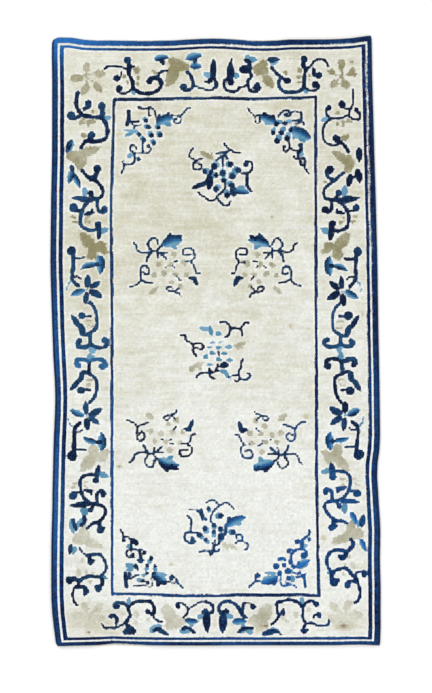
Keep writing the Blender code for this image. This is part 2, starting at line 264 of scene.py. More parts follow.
# Figures that differ from quarter to quarter, each drawn in its own place, and how blue its yarn is
singleFigures = {
    "topLeftSpray": {"blue": 0.2, "shapes": row(
        line(1.5, (-40.3, 107.3), (-40.4, 103.5), (-41.2, 101)), line(1.0, (-39.8, 102.4), (-36.6, 102.3)),
        line(0.9, (-39.3, 101.5), (-37, 100.6), (-34.4, 100.8)), ball(-36, 102.6, 0.8),
        ball(-38, 99.4, 0.7),
        line(0.9, (-36.3, 108.9), (-33.5, 108.4), (-30, 108.6), (-28.4, 107), (-27.8, 102.4)),
        line(0.9, (-31.5, 108.3), (-31.2, 105.6), (-30.5, 105.4)),
        line(0.9, (-20.2, 105.6), (-16.7, 105.3), (-15, 106.6), (-13.5, 108.3), (-12.2, 108.5)),
        line(0.9, (-16.4, 105.2), (-15.8, 103.2), (-17, 101.6), (-18.9, 101.8), (-19.1, 103.3)),
        ball(-18.4, 103.6, 0.8), line(1.0, (-33.6, 93.5), (-34.2, 91.5), (-34.2, 88.8)),
        line(0.9, (-34.2, 89), (-32.5, 88), (-30.6, 88.4), (-30, 90)), ball(-31.2, 91, 0.9),
        line(0.9, (-34.2, 88.2), (-38.2, 88)),
        line(1.0, (-38.1, 88.1), (-39.9, 89.5), (-39.7, 91.2), (-38, 91.5), (-37.2, 90.2)),
        skyBall(-39.9, 86.6, 1.2),
        line(1.0, (-38.3, 88), (-38, 84), (-39.5, 82.2), (-42.3, 82), (-42.8, 80), (-43.8, 78.2)),
        ball(-36.2, 84.7, 1.2), line(0.8, (-42.2, 82.2), (-43.2, 83.3), (-42.4, 84.2)),
        leaf((-27.8, 101.6), (-19.4, 104.2), 4.4, 0.6, light="right"),
        leaf((-27.4, 102.2), (-25.8, 106.4), 1.7), leaf((-23.4, 104), (-21.2, 107.2), 1.6),
        skyLeaf((-24.5, 102), (-20.2, 100.6), 2.0), skyLeaf((-35.5, 97.5), (-43.2, 98), 1.9),
        skyLeaf((-38, 97), (-43, 95.4), 1.4), grape(-32.5, 103.2), grape(-31.4, 99.7), grape(-27, 99.6),
        grape(-35.5, 96.3, 1.2, (0, 0)), grape(-30, 96), grape(-26, 96), grape(-33.4, 93.8),
        grape(-28.7, 92.6),
    )},
    "topRightSpray": {"blue": 0.12, "shapes": row(
        line(0.9, (15, 109), (16, 107.2), (18, 105), (18.3, 102.8), (19.3, 101.6), (20.8, 102.2),
             (21, 104)),
        ball(20.7, 103.9, 0.7), line(0.9, (18.5, 105.1), (21, 105.6), (23, 105.6)),
        leaf((28.4, 101.8), (20.8, 105.2), 4.2, light="left"), leaf((27.2, 102.5), (26.8, 105.9), 1.7),
        leaf((24.6, 104), (22.6, 106.8), 2.0), skyLeaf((26.4, 102), (22.8, 101.2), 1.8),
        grape(29.1, 101.3, 1.45, (0.9, 0.7)), grape(32.8, 101.6, 1.3, (1.5, 0.9)),
        grape(27, 97.4, 1.35, (0.2, 1)), grape(31, 97.5, 1.3, (0.5, 1)), grape(28.9, 93.8, 1.4, (0.7, 1.2)),
        grape(33.7, 94.9, 1.5, (0.3, 0.8)), grape(35.4, 98.3, 1.3, (0, 0)),
        leaf((35.6, 98.6), (44.2, 94.4), 4.8, light="right"), skyLeaf((38, 96.4), (42, 93.2), 2.4),
        skyLeaf((37, 97), (36.8, 94), 1.4),
        line(1.0, (29.5, 104.8), (30.2, 106.4), (32, 107.7), (33.8, 107.5), (34.8, 106.2), (34, 105.2),
             (32.6, 105.2)),
        ball(32.6, 106, 0.8), line(0.9, (34.8, 106.4), (36.5, 107.4), (38.6, 106.8)),
        line(1.3, (40, 106.4), (40.1, 103.4)), line(1.1, (36, 102.6), (37.6, 103), (40, 103), (41.2, 101)),
        line(1.0, (39.6, 102.6), (38.2, 101.4), (36.8, 101.2)),
        line(1.1, (34.4, 93.4), (34.8, 91.6), (34.6, 89.8), (33.4, 88.4), (32, 88.8), (32, 90.6)),
        ball(32.2, 90.8, 0.9), line(1.0, (34.8, 90.2), (36.4, 88.9), (38.6, 88.4)),
        line(1.3, (40, 92), (40, 88.8), (38.8, 88.2), (38.8, 85.4)), ball(39.4, 91.6, 1.1),
        skyBall(40.3, 87, 1.2),
        line(1.1, (36.6, 85.8), (37.8, 84.8), (39.6, 85.2), (41.8, 85), (42.2, 83.4), (41.8, 81.2),
             (42.6, 79.6), (43.4, 78.6)),
        ball(36.6, 85.8, 0.8), line(1.0, (41.6, 81.8), (40, 82.4), (39.6, 83.4)), ball(39.8, 83.6, 0.9),
    )},
    "bottomLeftSpray": {"blue": 0.25, "shapes": row(
        line(1.1, (-44.7, -87.8), (-43.6, -89.4), (-43, -91.2)), ball(-43, -92.9, 1.0),
        line(1.0, (-43, -91.2), (-40.8, -91.3), (-39.6, -92.6)), line(1.4, (-39.4, -92.6), (-39.5, -97.4)),
        line(1.2, (-39.4, -93), (-37.6, -92.8)), leaf((-38.4, -92.4), (-36.2, -95.4), 2.6),
        skyBall(-40.7, -95.8, 1.2),
        line(1.0, (-39.4, -97.3), (-37.8, -97.1), (-36.6, -98), (-34.2, -97.8), (-32.8, -98.8)),
        ball(-33, -98.9, 1.1),
        line(1.0, (-39.6, -97.8), (-41.4, -97.9), (-42, -99.6), (-41, -100.9), (-38, -101)),
        ball(-38.8, -100, 1.1), line(1.3, (-35.4, -98), (-34.9, -100.4), (-34.8, -102)),
        skyBall(-35, -103.1, 0.9), leaf((-36.6, -102.4), (-33.2, -102.4), 1.9),
        grape(-30.2, -101.8, 1.2, (-0.6, -1)), grape(-32.2, -105, 1.1, (-0.4, -1.2)),
        grape(-28, -105.3, 1.1, (0, -1.2)), grape(-32.5, -108.5, 1.0, (-1.2, -0.4)),
        grape(-34.5, -112, 1.2, (-1.2, 0.2)), ball(-31.8, -112.9, 0.9),
        skyLeaf((-37.4, -105.4), (-42.6, -104), 2.1), skyLeaf((-38.4, -106.4), (-42, -106.4), 1.6),
        ball(-37.4, -105, 1.0), line(0.9, (-37.4, -105), (-36.2, -106.6)),
        line(1.7, (-42, -108), (-41.8, -111), (-41.2, -114.6)),
        line(1.1, (-41, -110.8), (-39, -110.8), (-37.8, -109.6), (-36, -109.2)),
        line(1.2, (-39.8, -108.2), (-39.7, -110.4)),
        line(0.8, (-38.2, -114.7), (-35, -114.6), (-34, -114), (-32.8, -114.6), (-30, -114.6),
             (-30, -110.8)),
        leaf((-29.2, -108.4), (-22.6, -113.6), 4.6, light="left"), leaf((-27, -112), (-27.2, -115), 1.9),
        leaf((-24.6, -112.2), (-23, -114.2), 1.7), skyLeaf((-27, -109.4), (-22.4, -108.8), 2.1),
        ball(-28.7, -108.7, 1.1), line(0.9, (-22.8, -112.8), (-18.2, -113), (-17.8, -111.4), (-19.6, -110)),
        leaf((-19.8, -109.4), (-20.6, -111.8), 2.2),
        line(1.0, (-18, -112.8), (-16.6, -114.2), (-14.9, -115.4)),
    )},
    "bottomRightSpray": {"blue": 0.5, "shapes": row(
        line(1.2, (43.9, -88), (43.9, -90), (41.6, -92), (40.2, -93.6)), ball(43.6, -93, 1.0),
        line(0.9, (43.9, -91), (44, -93)), ball(37.8, -93.8, 1.2), line(1.1, (38.6, -93.8), (40.4, -93.8)),
        line(1.4, (40.4, -93.2), (40.4, -97)), skyBall(41.7, -95.8, 1.0),
        line(1.2, (34.6, -97.6), (36.8, -98), (38.6, -97.2), (40.4, -97.2), (42, -98.2), (42.4, -100)),
        ball(34.3, -98.3, 1.1), ball(40.9, -100, 1.15),
        line(0.9, (42.4, -99.6), (41.8, -101), (40.4, -101)),
        line(1.2, (37, -98.2), (35.6, -99.8), (35.4, -102)), ball(35.3, -102.9, 1.3),
        ball(36.6, -105.3, 1.2), leaf((37.6, -105.8), (44.2, -102.4), 2.8, 0.5, light="left"),
        leaf((39, -104.6), (39.2, -102.2), 1.2), skyLeaf((38.6, -106), (44, -104.4), 1.5),
        line(1.3, (41.4, -109.4), (42, -114.4)),
        line(1.0, (42.6, -108.6), (41.2, -110), (38.6, -110.6), (37.6, -110.6)),
        line(1.0, (36.8, -108.6), (38, -109), (39.4, -108.8), (40.6, -109.8)),
        line(0.9, (39.2, -107.2), (39.6, -108.8)),
        line(1.3, (29.2, -101.8), (30.8, -101.2), (32.4, -101.8)), ball(28, -105, 1.5),
        ball(31.9, -104.6, 1.25), skyBall(35.4, -107.8, 1.0), ball(33.8, -107.6, 1.5),
        grape(34.2, -111, 1.4, (1.2, 0)), ball(29.6, -108.6, 1.3),
        leaf((28.8, -110.4), (21.4, -113), 3.4, light="right"), skyLeaf((28.2, -108.6), (23, -108.4), 1.9),
        leaf((28.8, -112.4), (22.2, -113.4), 1.6), leaf((28, -112), (27.2, -114.2), 1.7),
        line(1.0, (21.2, -112), (19, -111.8), (18.6, -110), (19.8, -108.8), (21.2, -110)),
        ball(20, -109.7, 1.1), line(1.1, (19.2, -111.8), (17.2, -113.4), (15.5, -114.9)),
        line(0.9, (30.2, -110), (30.4, -113), (31.8, -114.6), (33.6, -113.9), (35.4, -113.6),
             (37.6, -114.8)),
        line(0.9, (32.6, -112.8), (33.8, -113.8)),
    )},
    "bottomLeftBorder": {"blue": 0.14, "shapes": row(
        line(1.4, (-47.2, -122.6), (-46, -121.8), (-44, -122), (-42.4, -122.6), (-41, -124.4)),
        ball(-46.4, -123.7, 1.6), skyLeaf((-40.6, -123.4), (-40.3, -119.6), 2.2),
        line(1.3, (-41, -124.5), (-38.6, -122.4), (-36, -121.4), (-33, -121.2), (-30.4, -121.4),
             (-29, -123.2), (-28.2, -125.6), (-28.6, -127.4), (-29.6, -127.8)),
        ball(-31.5, -126.4, 1.3), ball(-30.3, -127.2, 0.9),
        line(1.0, (-29.2, -128), (-28, -129.8), (-26.4, -130.9), (-25, -131.1)),
        line(1.3, (-41.2, -124.6), (-40.5, -126.4), (-39.9, -128.2), (-40.8, -130), (-42, -131.6)),
        line(1.1, (-42.4, -131.9), (-44.4, -133), (-46, -133.8), (-49, -134), (-51.6, -133.8),
             (-53, -132.4)),
        ball(-40.2, -134.8, 2.2), ball(-41.8, -135.6, 1.4), ball(-38.6, -135.4, 1.4),
        line(1.4, (-42, -131.8), (-40.6, -133)), ball(-48.6, -128.6, 1.1),
        line(1.5, (-48, -128.2), (-46.6, -129), (-45.8, -130.4), (-46.2, -131.8)),
        camelBall(-43.6, -127.2, 1.2), camelLeaf((-37.4, -126), (-37.6, -129.6), 2),
        camelBall(-37.6, -131.6, 0.9), camelBall(-31.4, -130.2, 0.9),
        skyLeaf((-30.8, -135.6), (-24.8, -132.8), 3.0, 0.4), leaf((-29.8, -135.5), (-25, -133.6), 1.9),
        leaf((-27.8, -133.8), (-21.4, -137.2), 2.4),
        line(1.2, (-18.6, -123.4), (-17.6, -122.4), (-14.8, -122.6), (-13.6, -124), (-12.8, -125.6)),
        ball(-17.4, -124.1, 1.3), line(1.2, (-12.8, -125), (-13, -127), (-14.2, -128.2), (-15.2, -129)),
        line(1.0, (-12.6, -125.2), (-10.4, -123.8), (-8.4, -122.4), (-7, -121.6), (-4.4, -121.7)),
        line(1.4, (-4.4, -121.8), (-2.4, -122.8), (-1.3, -124.6), (-1.6, -126.8), (-2.8, -127.2)),
        ball(-4.7, -126.3, 1.3), ball(-6, -126.9, 0.7), leaf((-4.2, -126.2), (-3.6, -136.2), 3.6),
        skyLeaf((-5.2, -128.4), (-8.6, -129.5), 2.2), leaf((-14.6, -130.5), (-8, -131), 2.4, light="right"),
        skyBall(-11.4, -132.5, 0.9), skyLeaf((-17, -135.3), (-11.2, -135.3), 2.4),
        line(1.3, (-15.4, -134.2), (-12.8, -133.6), (-10.4, -136)),
    )},
    "bottomRightBorder": {"blue": 0.14, "shapes": row(
        line(1.4, (2.4, -127.4), (1.5, -125.6), (1.7, -123.6), (3, -122), (5.6, -121.3), (7.6, -121.9),
             (9.6, -123.2), (11, -125)),
        ball(4.9, -126.3, 1.2), ball(6, -126.6, 0.7), ball(3.5, -127, 1.1),
        leaf((3.3, -126.8), (3.3, -136.8), 3.7), skyLeaf((4.4, -128), (8.2, -129.3), 2.2),
        line(1.9, (11, -124.8), (12, -126), (12.6, -127.4)),
        line(1.5, (13.2, -123), (13, -125), (12.6, -127.6), (14.4, -129.2)),
        line(1.1, (13.2, -123), (13.6, -122.4), (16, -122.7), (17, -123)), ball(17.4, -124.3, 1.4),
        leaf((8, -130.9), (14.7, -130.8), 2.9, light="right"), skyBall(12.8, -133, 1.0),
        skyLeaf((10.8, -136), (13.8, -134.6), 1.8), skyLeaf((14.4, -134.8), (17.8, -136.4), 2.2),
        line(1.5, (10.6, -135.6), (13, -133.9), (17.4, -134)), skyLeaf((25, -134.2), (30, -135.8), 2.6),
        leaf((21.8, -137.3), (29.4, -134.9), 3.0, 0.3), line(0.9, (28.6, -135.2), (30.5, -137.2)),
        line(1.4, (29.6, -128), (28.7, -126.4), (28.6, -124), (28.9, -122.2), (31, -121.7), (33.6, -120.8),
             (36, -120.8), (38.4, -122.2), (40.2, -124)),
        ball(31.7, -126.9, 1.3), ball(31.7, -125.7, 0.7),
        line(1.2, (30, -128), (28.9, -129.4), (27.6, -131), (25.9, -132)),
        line(1.2, (40.4, -124), (40.9, -126.4), (40.7, -128.4), (41.6, -130.4), (42.4, -131.6)),
        line(1.2, (42.4, -131.5), (45, -131.6), (47.6, -132.6), (50.6, -132.7), (52.4, -132),
             (52.8, -130.3)),
        line(1.2, (42, -131.8), (41.2, -134)), ball(41.5, -135.6, 1.4), ball(43, -134.8, 0.8),
        ball(40.5, -135.2, 0.8), line(1.3, (41, -123.6), (42.2, -122), (44.2, -121.6), (46, -121.9)),
        ball(47, -123, 1.3), skyLeaf((40.4, -122.6), (40, -119.8), 2.2), ball(48.2, -128, 1.2),
        ball(47.7, -127, 0.6), line(1.0, (47.4, -127.6), (46, -127.7), (45.5, -129.2)),
        camelBall(37.6, -128, 1.2), camelLeaf((31, -129.3), (34.2, -131), 2.0),
        camelBall(43.4, -125.2, 0.8), camelBall(38, -131.2, 0.8),
    )},
    "topRightBorder": {"blue": 0.12, "shapes": row(
        line(0.9, (7.8, 131.4), (7.2, 129.6)), leaf((7, 120.4), (7.2, 130.6), 3.3), ball(7.2, 120.9, 1.6),
        line(1.3, (5.8, 122.4), (4, 121.8), (3.7, 118.9), (5.4, 116.7), (7.9, 116.2), (10, 116.8),
             (11.1, 118.1)),
        line(1.0, (11.1, 118.1), (13.2, 118.7), (15, 119.4)), skyLeaf((8, 124.3), (11.4, 123.6), 2.5),
        line(1.3, (16.1, 124.8), (16.4, 123.5), (15.2, 121.7), (15.3, 119.6), (15.7, 117.8), (17.1, 116.4),
             (18.9, 116.2), (20.3, 117.3), (20.3, 118.9), (19.4, 120.3)),
        ball(18.9, 118.3, 1.4), leaf((16.2, 126.4), (11, 126.8), 3.2),
        line(1.8, (15.4, 129.8), (15.9, 126.8)), skyBall(14.6, 132.2, 1.4),
        skyLeaf((13.4, 131.6), (19.4, 131), 3.0), leaf((13.3, 131.2), (17, 129.2), 2.2),
        camelBall(20.2, 126.8, 2.8), camelBall(22.2, 129, 2.0), camelBall(18.6, 127, 1.7),
        camelBall(23.2, 126.2, 1.7), camelLeaf((22.4, 124.2), (27, 118), 3.6),
        leaf((24.4, 130.9), (30.2, 131.2), 2.6), skyLeaf((25.8, 129.4), (29.8, 130.2), 2.0),
        line(1.4, (26.3, 127.4), (27.9, 125.6), (30.4, 123.9), (32.1, 122.4)), ball(33.7, 121.6, 1.7),
        line(1.4, (31, 122.8), (29.8, 121.4), (29.7, 118.9), (31.1, 116.8), (33.2, 115.9), (35.7, 115.8),
             (38.6, 115.9), (40.4, 117.2), (41.3, 118.9), (41.4, 121.7), (41.6, 125.3), (42.5, 127.4)),
        ball(41.2, 131.3, 1.8), line(2.1, (40.7, 130.4), (40.7, 128.6), (42.2, 126.9)),
        line(1.2, (42.8, 127.4), (44.6, 128.3), (46.4, 130.3), (48.2, 131.2), (50.4, 131.1), (51.8, 129.9),
             (52.9, 128.2)),
        line(1.5, (45.9, 126.8), (45.8, 124.9), (47.2, 123.7), (48.8, 124)), ball(48.2, 124.2, 1.6),
        line(1.2, (41.8, 118.1), (43.6, 116.9), (46.1, 116.8), (47.8, 117.8), (48, 119.4)),
        ball(46.3, 119.6, 1.8), skyLeaf((41.4, 117.8), (42.8, 115.6), 2.0), camelBall(32.9, 125.1, 1.1),
        camelBall(39.1, 126.4, 1.2), camelLine(1.0, (37.8, 123.4), (40.2, 123.4)),
        camelLine(1.0, (38.6, 121), (40.2, 121)), camelBall(43.8, 124, 0.7), camelBall(43.4, 122, 0.6),
        camelBall(12.2, 116.2, 0.6),
    )},
    "topRightFlower": {"blue": 0, "shapes": row(
        camelLeaf((58.6, 127.2), (58.7, 131.2), 3.0), camelLeaf((61, 124.8), (66.2, 124.8), 2.0),
        camelLeaf((62.8, 124.6), (64.2, 127.6), 2.2), camelLeaf((59.6, 121.2), (61.8, 118), 3.2),
        camelBall(62, 119.4, 0.9), camelLeaf((56.6, 121.4), (54, 118.4), 3.2),
        camelLeaf((56.2, 124.8), (52.4, 126.6), 2.2),
        camelLine(0.8, (58.6, 128), (58.7, 124), (59.6, 121.4)), camelLine(0.8, (55.6, 124.4), (62, 124.8)),
        camelLine(0.7, (58.6, 123.8), (57, 121.6)),
    )},
    "upperRightCorner": {"blue": 0.1, "shapes": row(
        line(1.1, (64, 117.2), (64.3, 112.4), (64.1, 110.1), (63.2, 108.7), (61.1, 108.7), (59.5, 109.3)),
        ball(59, 110.5, 1.8), line(1.25, (63.2, 108.6), (62.4, 106.6), (62.2, 105.1)),
        line(1.25, (62.2, 105.2), (60.7, 104.7), (58.8, 103.9), (55.7, 103.7), (53.8, 103.9), (52.2, 105.5),
             (51.5, 106.8), (51.7, 108.6)),
        ball(52.8, 109, 1.3),
        line(1.25, (62.3, 105.1), (63.4, 103.9), (64.9, 103.2), (66.8, 103.3), (67.5, 104.7),
             (67.1, 106.6)),
        ball(65.9, 108, 1.1), line(1.3, (67, 106.4), (66.1, 107.4)),
        line(1.2, (53.8, 103.6), (52.2, 102), (50.7, 100.1)),
        line(1.25, (50.9, 100.1), (50.3, 97.4), (50.5, 94.3), (51.7, 92.6), (53.8, 91.6), (56.8, 91.8),
             (58.4, 92.6)),
        line(1.4, (58, 92.8), (57.6, 95)), ball(56.4, 94.8, 1.5),
        line(1.3, (58.6, 92.8), (59.9, 91.6), (61.5, 89.7), (62.3, 88)),
        skyLeaf((53.2, 103.6), (49.2, 102.9), 2.2), camelBall(56.7, 106.4, 0.9),
        camelLeaf((61, 103), (63.8, 101.6), 1.9), camelBall(56.8, 101.2, 0.8),
        camelLine(1.2, (59.3, 102.4), (59.3, 100.6)), camelLeaf((59, 93.8), (62, 96.2), 2.4),
        leaf((66.8, 90.2), (67.1, 83.2), 2.6), camelLeaf((61.5, 84.2), (54.2, 88.2), 3.4),
        camelBall(62.5, 85, 1.7), camelBall(63.3, 83, 1.8), camelBall(61.8, 80.6, 1.9),
        camelBall(60.4, 84, 1.7), leaf((66, 80.6), (67.2, 73.2), 3.0, 0.5),
        leaf((63.2, 77.8), (61.6, 71.8), 3.4), line(1.2, (63.2, 77), (65.4, 76.4)),
        skyLine(0.7, (61.4, 76.8), (61.4, 74.6)), ball(53.2, 80.1, 1.8),
        line(1.3, (51.8, 80), (51.7, 78.5), (52.6, 76.6), (54.3, 75.6), (56.1, 75.5), (57.6, 77),
             (59.6, 78.6)),
        line(1.3, (56, 75.2), (53.8, 73.2), (51.1, 70.7), (50.7, 68.5), (51.6, 66.6), (53.4, 66.2)),
        camelBall(51.2, 73.9, 0.8),
    )},
    "lowerLeftCorner": {"blue": 0.14, "shapes": row(
        line(1.3, (-59.6, -87.4), (-57, -85.4), (-54.6, -84.6), (-52.4, -82), (-51.3, -79.8),
             (-51.6, -77.8), (-53.8, -76.4)),
        line(1.6, (-54.6, -84.8), (-54.2, -87)), ball(-53.8, -88.2, 1.7), ball(-52.3, -87.7, 0.8),
        line(1.1, (-63.8, -96.4), (-62.6, -98.6), (-60.2, -100.6)),
        line(1.3, (-60.2, -100.6), (-58, -99.9), (-55.5, -99.6), (-53.8, -99.9), (-52, -102),
             (-50.9, -104.5), (-51.1, -106.6), (-52.6, -108.6), (-54, -109.6)),
        line(1.5, (-58.9, -100.6), (-58.9, -102)), ball(-58.5, -103, 1.5), ball(-57, -102.8, 0.8),
        line(1.6, (-54, -109.8), (-56, -110), (-59, -109.9), (-61.5, -110.6), (-63.5, -112),
             (-64.6, -111.4), (-66.4, -110.8)),
        line(2.2, (-66, -110.9), (-68, -110.9), (-69, -111.8)), ball(-68.4, -112.4, 1.5),
        line(1.5, (-54.4, -110), (-53.2, -111.2), (-52.8, -113.2), (-53.6, -114.4)),
        ball(-54.6, -115.7, 1.5), ball(-55.8, -114.8, 0.8),
        line(1.2, (-63.4, -112), (-63.9, -114.2), (-65.4, -115.2), (-66.6, -117.2), (-66.9, -119.2),
             (-66, -121.6), (-65, -123.2)),
        line(1.7, (-63.8, -115), (-61.6, -115.1), (-60, -116)), ball(-60.3, -117, 1.6),
        ball(-61, -118.2, 0.9), skyLeaf((-53.6, -110), (-50.6, -110.6), 1.8),
        camelLeaf((-63.4, -106.5), (-64, -110), 2.2), camelLeaf((-60.4, -106.8), (-60.2, -109.4), 1.5),
        camelBall(-57.5, -108.2, 0.9), camelBall(-62.4, -102.4, 1.0), camelBall(-58.4, -112.3, 0.8),
        leaf((-67.8, -94.8), (-68, -100), 2.1), skyLeaf((-65.4, -96), (-66.6, -99.8), 2.0),
        skyLeaf((-67, -83), (-66.6, -90), 2.8), line(1.6, (-66.2, -83.6), (-65.8, -86), (-65, -88)),
        skyLeaf((-65, -87.6), (-61.4, -82.4), 2.6), line(1.5, (-61.4, -82.2), (-61, -84.6), (-62.4, -86)),
    )},
    "lowerRightCorner": {"blue": 0.28, "shapes": row(
        line(1.3, (61.2, -84.8), (58.8, -84), (56.4, -84), (54.2, -82.8), (51.8, -80.4), (50.8, -77.8),
             (51.2, -75.8), (53.2, -74.9)),
        line(1.7, (55.2, -83.6), (54.6, -85.8)), ball(54.2, -86.8, 1.7), ball(55.9, -86.1, 0.9),
        line(1.5, (63.2, -92.8), (64, -94.2), (63.9, -95.8), (62.4, -97.4), (61, -99)),
        ball(59.2, -101, 1.5), line(1.5, (61, -98.4), (60.8, -100.2), (60, -101.4)), ball(58.2, -100, 0.8),
        line(1.4, (61.4, -98.2), (58.5, -97.5), (55.5, -97.6), (53.2, -99), (51.7, -101.5), (51.9, -104.6),
             (53, -106.8), (54.6, -108.4)),
        line(1.5, (54.4, -108.4), (56, -107.2), (58, -106.5), (60.6, -106), (62.4, -107.4), (64, -109.2),
             (65.4, -110.2)),
        line(1.2, (65.2, -109.6), (66.4, -108.3), (68, -107.9), (70, -108)), ball(69.4, -109.3, 1.3),
        line(1.8, (54.2, -108.8), (54.1, -111.4)), ball(55, -112.7, 1.7), ball(56.8, -111.8, 0.9),
        line(1.3, (65.6, -110.4), (66.4, -113), (67.5, -116), (67.4, -119), (66.6, -121), (65, -122.4)),
        line(1.3, (66, -112.4), (63.5, -112.1), (61.6, -112.9)), ball(61.5, -113.9, 1.4),
        skyLeaf((54.8, -108), (51.4, -108.8), 1.8), camelBall(60.6, -104.4, 0.9),
        camelLeaf((63.4, -103.6), (65.4, -107), 2.2), camelBall(60, -109, 0.8),
        camelBall(62.8, -100.4, 1.0), leaf((67.4, -92.4), (70.2, -98.2), 2.6, light="right"),
        leaf((63, -80.2), (66.2, -85.2), 2.7, light="right"), leaf((69.2, -81.2), (68.2, -87.2), 2.8),
        skyLeaf((67.2, -83.2), (66.8, -87), 1.8),
    )},
    "upperSpray": {"blue": 0.12, "shapes": row(
        line(1.1, (3.9, 92.2), (6.2, 89.6), (9, 87.9), (11.6, 87.7)),
        line(1.0, (6.2, 89.2), (3.8, 88), (0.6, 87.7)),
        line(1.1, (5.5, 88.6), (3.5, 86.3), (3.4, 83.8), (3.7, 81.4)),
        line(1.0, (3.4, 86.4), (1.8, 85.4), (0.7, 84)), line(1.1, (4.5, 86.4), (5.4, 84.7)),
        camelLeaf((-6.8, 88.4), (-0.3, 84.2), 2.4), camelLeaf((-2.6, 86.6), (-1.4, 88.4), 1.2),
        line(1.0, (-10.3, 90), (-11.5, 88.9), (-12.3, 86.4), (-10.9, 85), (-9.5, 83.8), (-10.7, 82.1),
             (-10.4, 80.4), (-8.4, 79.7), (-6.9, 80.6), (-6.9, 82.1), (-8.4, 82.8)),
        line(1.0, (-9.6, 83.8), (-8, 84.6), (-6, 84.7)), grape(-4.9, 79.3, 1.5, (0.8, 0)),
        grape(-0.2, 81.5, 1.5, (0.8, 0.6)), grape(6.7, 82.4, 1.5, (-0.7, 0)),
        grape(10.2, 79.8, 1.5, (-0.8, 0)), grape(0.2, 77.6, 1.4, (-0.7, 0)), grape(3.6, 78.5, 1.5, (0, 0)),
        grape(7.9, 77, 1.5, (0, 0.4)), grape(4.1, 75.1, 1.4, (0, 0.3)), grape(0.3, 71, 1.7, (0.7, 0.6)),
        grape(7.6, 72.8, 1.6, (-0.6, 0.6)), grape(5.3, 68, 1.6, (0, 0.7)),
        line(1.4, (-1.6, 79.6), (-3, 77.4)), leaf((-2.8, 78), (-3.4, 70.2), 3.2),
        leaf((-3.6, 74), (-11.2, 70.6), 2.4, -0.5),
        line(1.0, (-7.8, 69), (-7.2, 67.9), (-5.4, 67.2), (-3.8, 65.8), (-1.8, 65.4), (0.4, 66.2)),
        line(1.1, (4.7, 74), (4.7, 71.4), (2.9, 69.2), (0.5, 66.9), (3.2, 63.6), (5.6, 63.2), (7, 65.3)),
        leaf((7.8, 72), (9, 67), 3.2), leaf((9, 70), (15.4, 69), 3.2, 0.2, light="left"),
        skyLeaf((10, 70.8), (13.6, 72.7), 1.6), ball(14, 82.3, 1.3),
        line(1.1, (14.1, 83.6), (16.2, 83.4), (17.4, 81.8), (16.6, 79.8), (14.8, 78.6), (11.6, 78.5)),
        line(1.2, (14.7, 78.5), (14.6, 74.4), (14.7, 72.2), (16.5, 69.8)),
    )},
    "lowerSpray": {"blue": 0.35, "shapes": row(
        line(1.0, (-4.1, -75.2), (-2.2, -74), (-0.2, -74.2), (1.2, -76)),
        line(1.0, (8.3, -78.3), (7, -76.8), (5.4, -75.5), (3.4, -75.6), (1.4, -77.2), (-0.4, -79.4),
             (-1.6, -81.6), (-2.1, -83.8), (-1.4, -85.4)),
        leaf((-6.6, -79.8), (-9.6, -79), 1.6), line(0.9, (-9, -79), (-12.2, -78.8)),
        leaf((-6.9, -77.8), (-5.8, -84.8), 2.0),
        line(1.0, (-13, -81.9), (-11.6, -84), (-11.8, -86), (-11.8, -89)),
        line(1.1, (-7, -89.5), (-10, -89.4), (-13, -89.2), (-14.4, -91), (-13.4, -93.4), (-11, -94.5),
             (-9.4, -93.8)),
        ball(-10.4, -93, 1.2), line(1.0, (-10.8, -91.6), (-10, -93)), grape(-3, -78.6, 1.2, (0.2, -0.6)),
        grape(-4.6, -83.3, 0.9, (0, 0)), grape(2.3, -81.9, 1.4, (-1.0, 0)),
        grape(-0.7, -86.1, 1.3, (0, -0.3)), grape(-5, -87.6, 1.4, (0.5, -0.6)),
        grape(2.6, -87.6, 1.4, (0.3, -0.3)), grape(-0.9, -89.3, 1.3, (0.1, -1.0)),
        grape(-7.4, -90.6, 1.3, (0.6, -0.8)), grape(-4.6, -93, 1.3, (0.6, -0.6)),
        grape(2.6, -91.3, 1.7, (-0.2, -0.8)), grape(8.1, -89, 1.4, (-0.7, 0)),
        leaf((4.6, -86.6), (14.4, -82), 3.4, 0.5, light="right"), leaf((6.4, -85), (6.3, -82), 1.5),
        skyLeaf((8.6, -85.6), (12.4, -85.2), 1.3), line(1.3, (5, -86.6), (5, -88.4), (4.4, -90.4)),
        line(1.0, (-7.6, -98.7), (-5, -97.9), (-2, -98.4), (0.6, -98.3), (1.5, -97.5)),
        ball(-2.2, -99.4, 0.9), line(1.2, (-1, -98.2), (-0.8, -95.9), (1.2, -94.8), (2, -93.5)),
        line(0.9, (-0.8, -95.8), (-2, -94.3)), line(0.9, (-0.2, -95.6), (-0.2, -92.8)),
        line(1.0, (10.2, -92), (9.9, -90.5), (11.6, -90), (12.6, -91.4), (12.4, -93.4)),
        line(1.0, (9.4, -94.9), (11, -93.6), (13, -93.7), (14.8, -95), (15, -96.8), (13.9, -97.7)),
        camelLeaf((3, -94.2), (6, -97.6), 2.0), camelLeaf((6, -95), (10, -97.4), 1.6),
    )},
    "middleSpray": {"blue": 0.12, "shapes": row(
        line(1.1, (1.9, 8.4), (4.4, 8.5), (6.3, 7.3), (6.7, 5.4), (6, 3.2), (4.7, 1.9)),
        line(1.1, (6.7, 5.4), (9, 5.9), (11.4, 5.4), (12.3, 4), (12.5, 2.5)),
        line(1.1, (11.4, 5.6), (12.6, 6.9), (14, 8.4), (15.8, 8.2)), skyLeaf((-7.9, 6), (-1.4, 5), 1.7),
        skyLeaf((-2.6, 6.8), (-1.6, 2.2), 2.0), skyBall(1.4, 3.5, 1.2),
        (skyLeaf((x - 1.5, y), (x + 1.5, y), tall) for x, y, tall in ((-1.2, -0.4, 1.1), (3, -0.3, 0.9),
         (-2.6, -2.9, 1.2), (1.7, -2.9, 1.4), (6.3, -2.9, 1.9), (-1.4, -5.9, 1.9), (4.3, -5.9, 1.6),
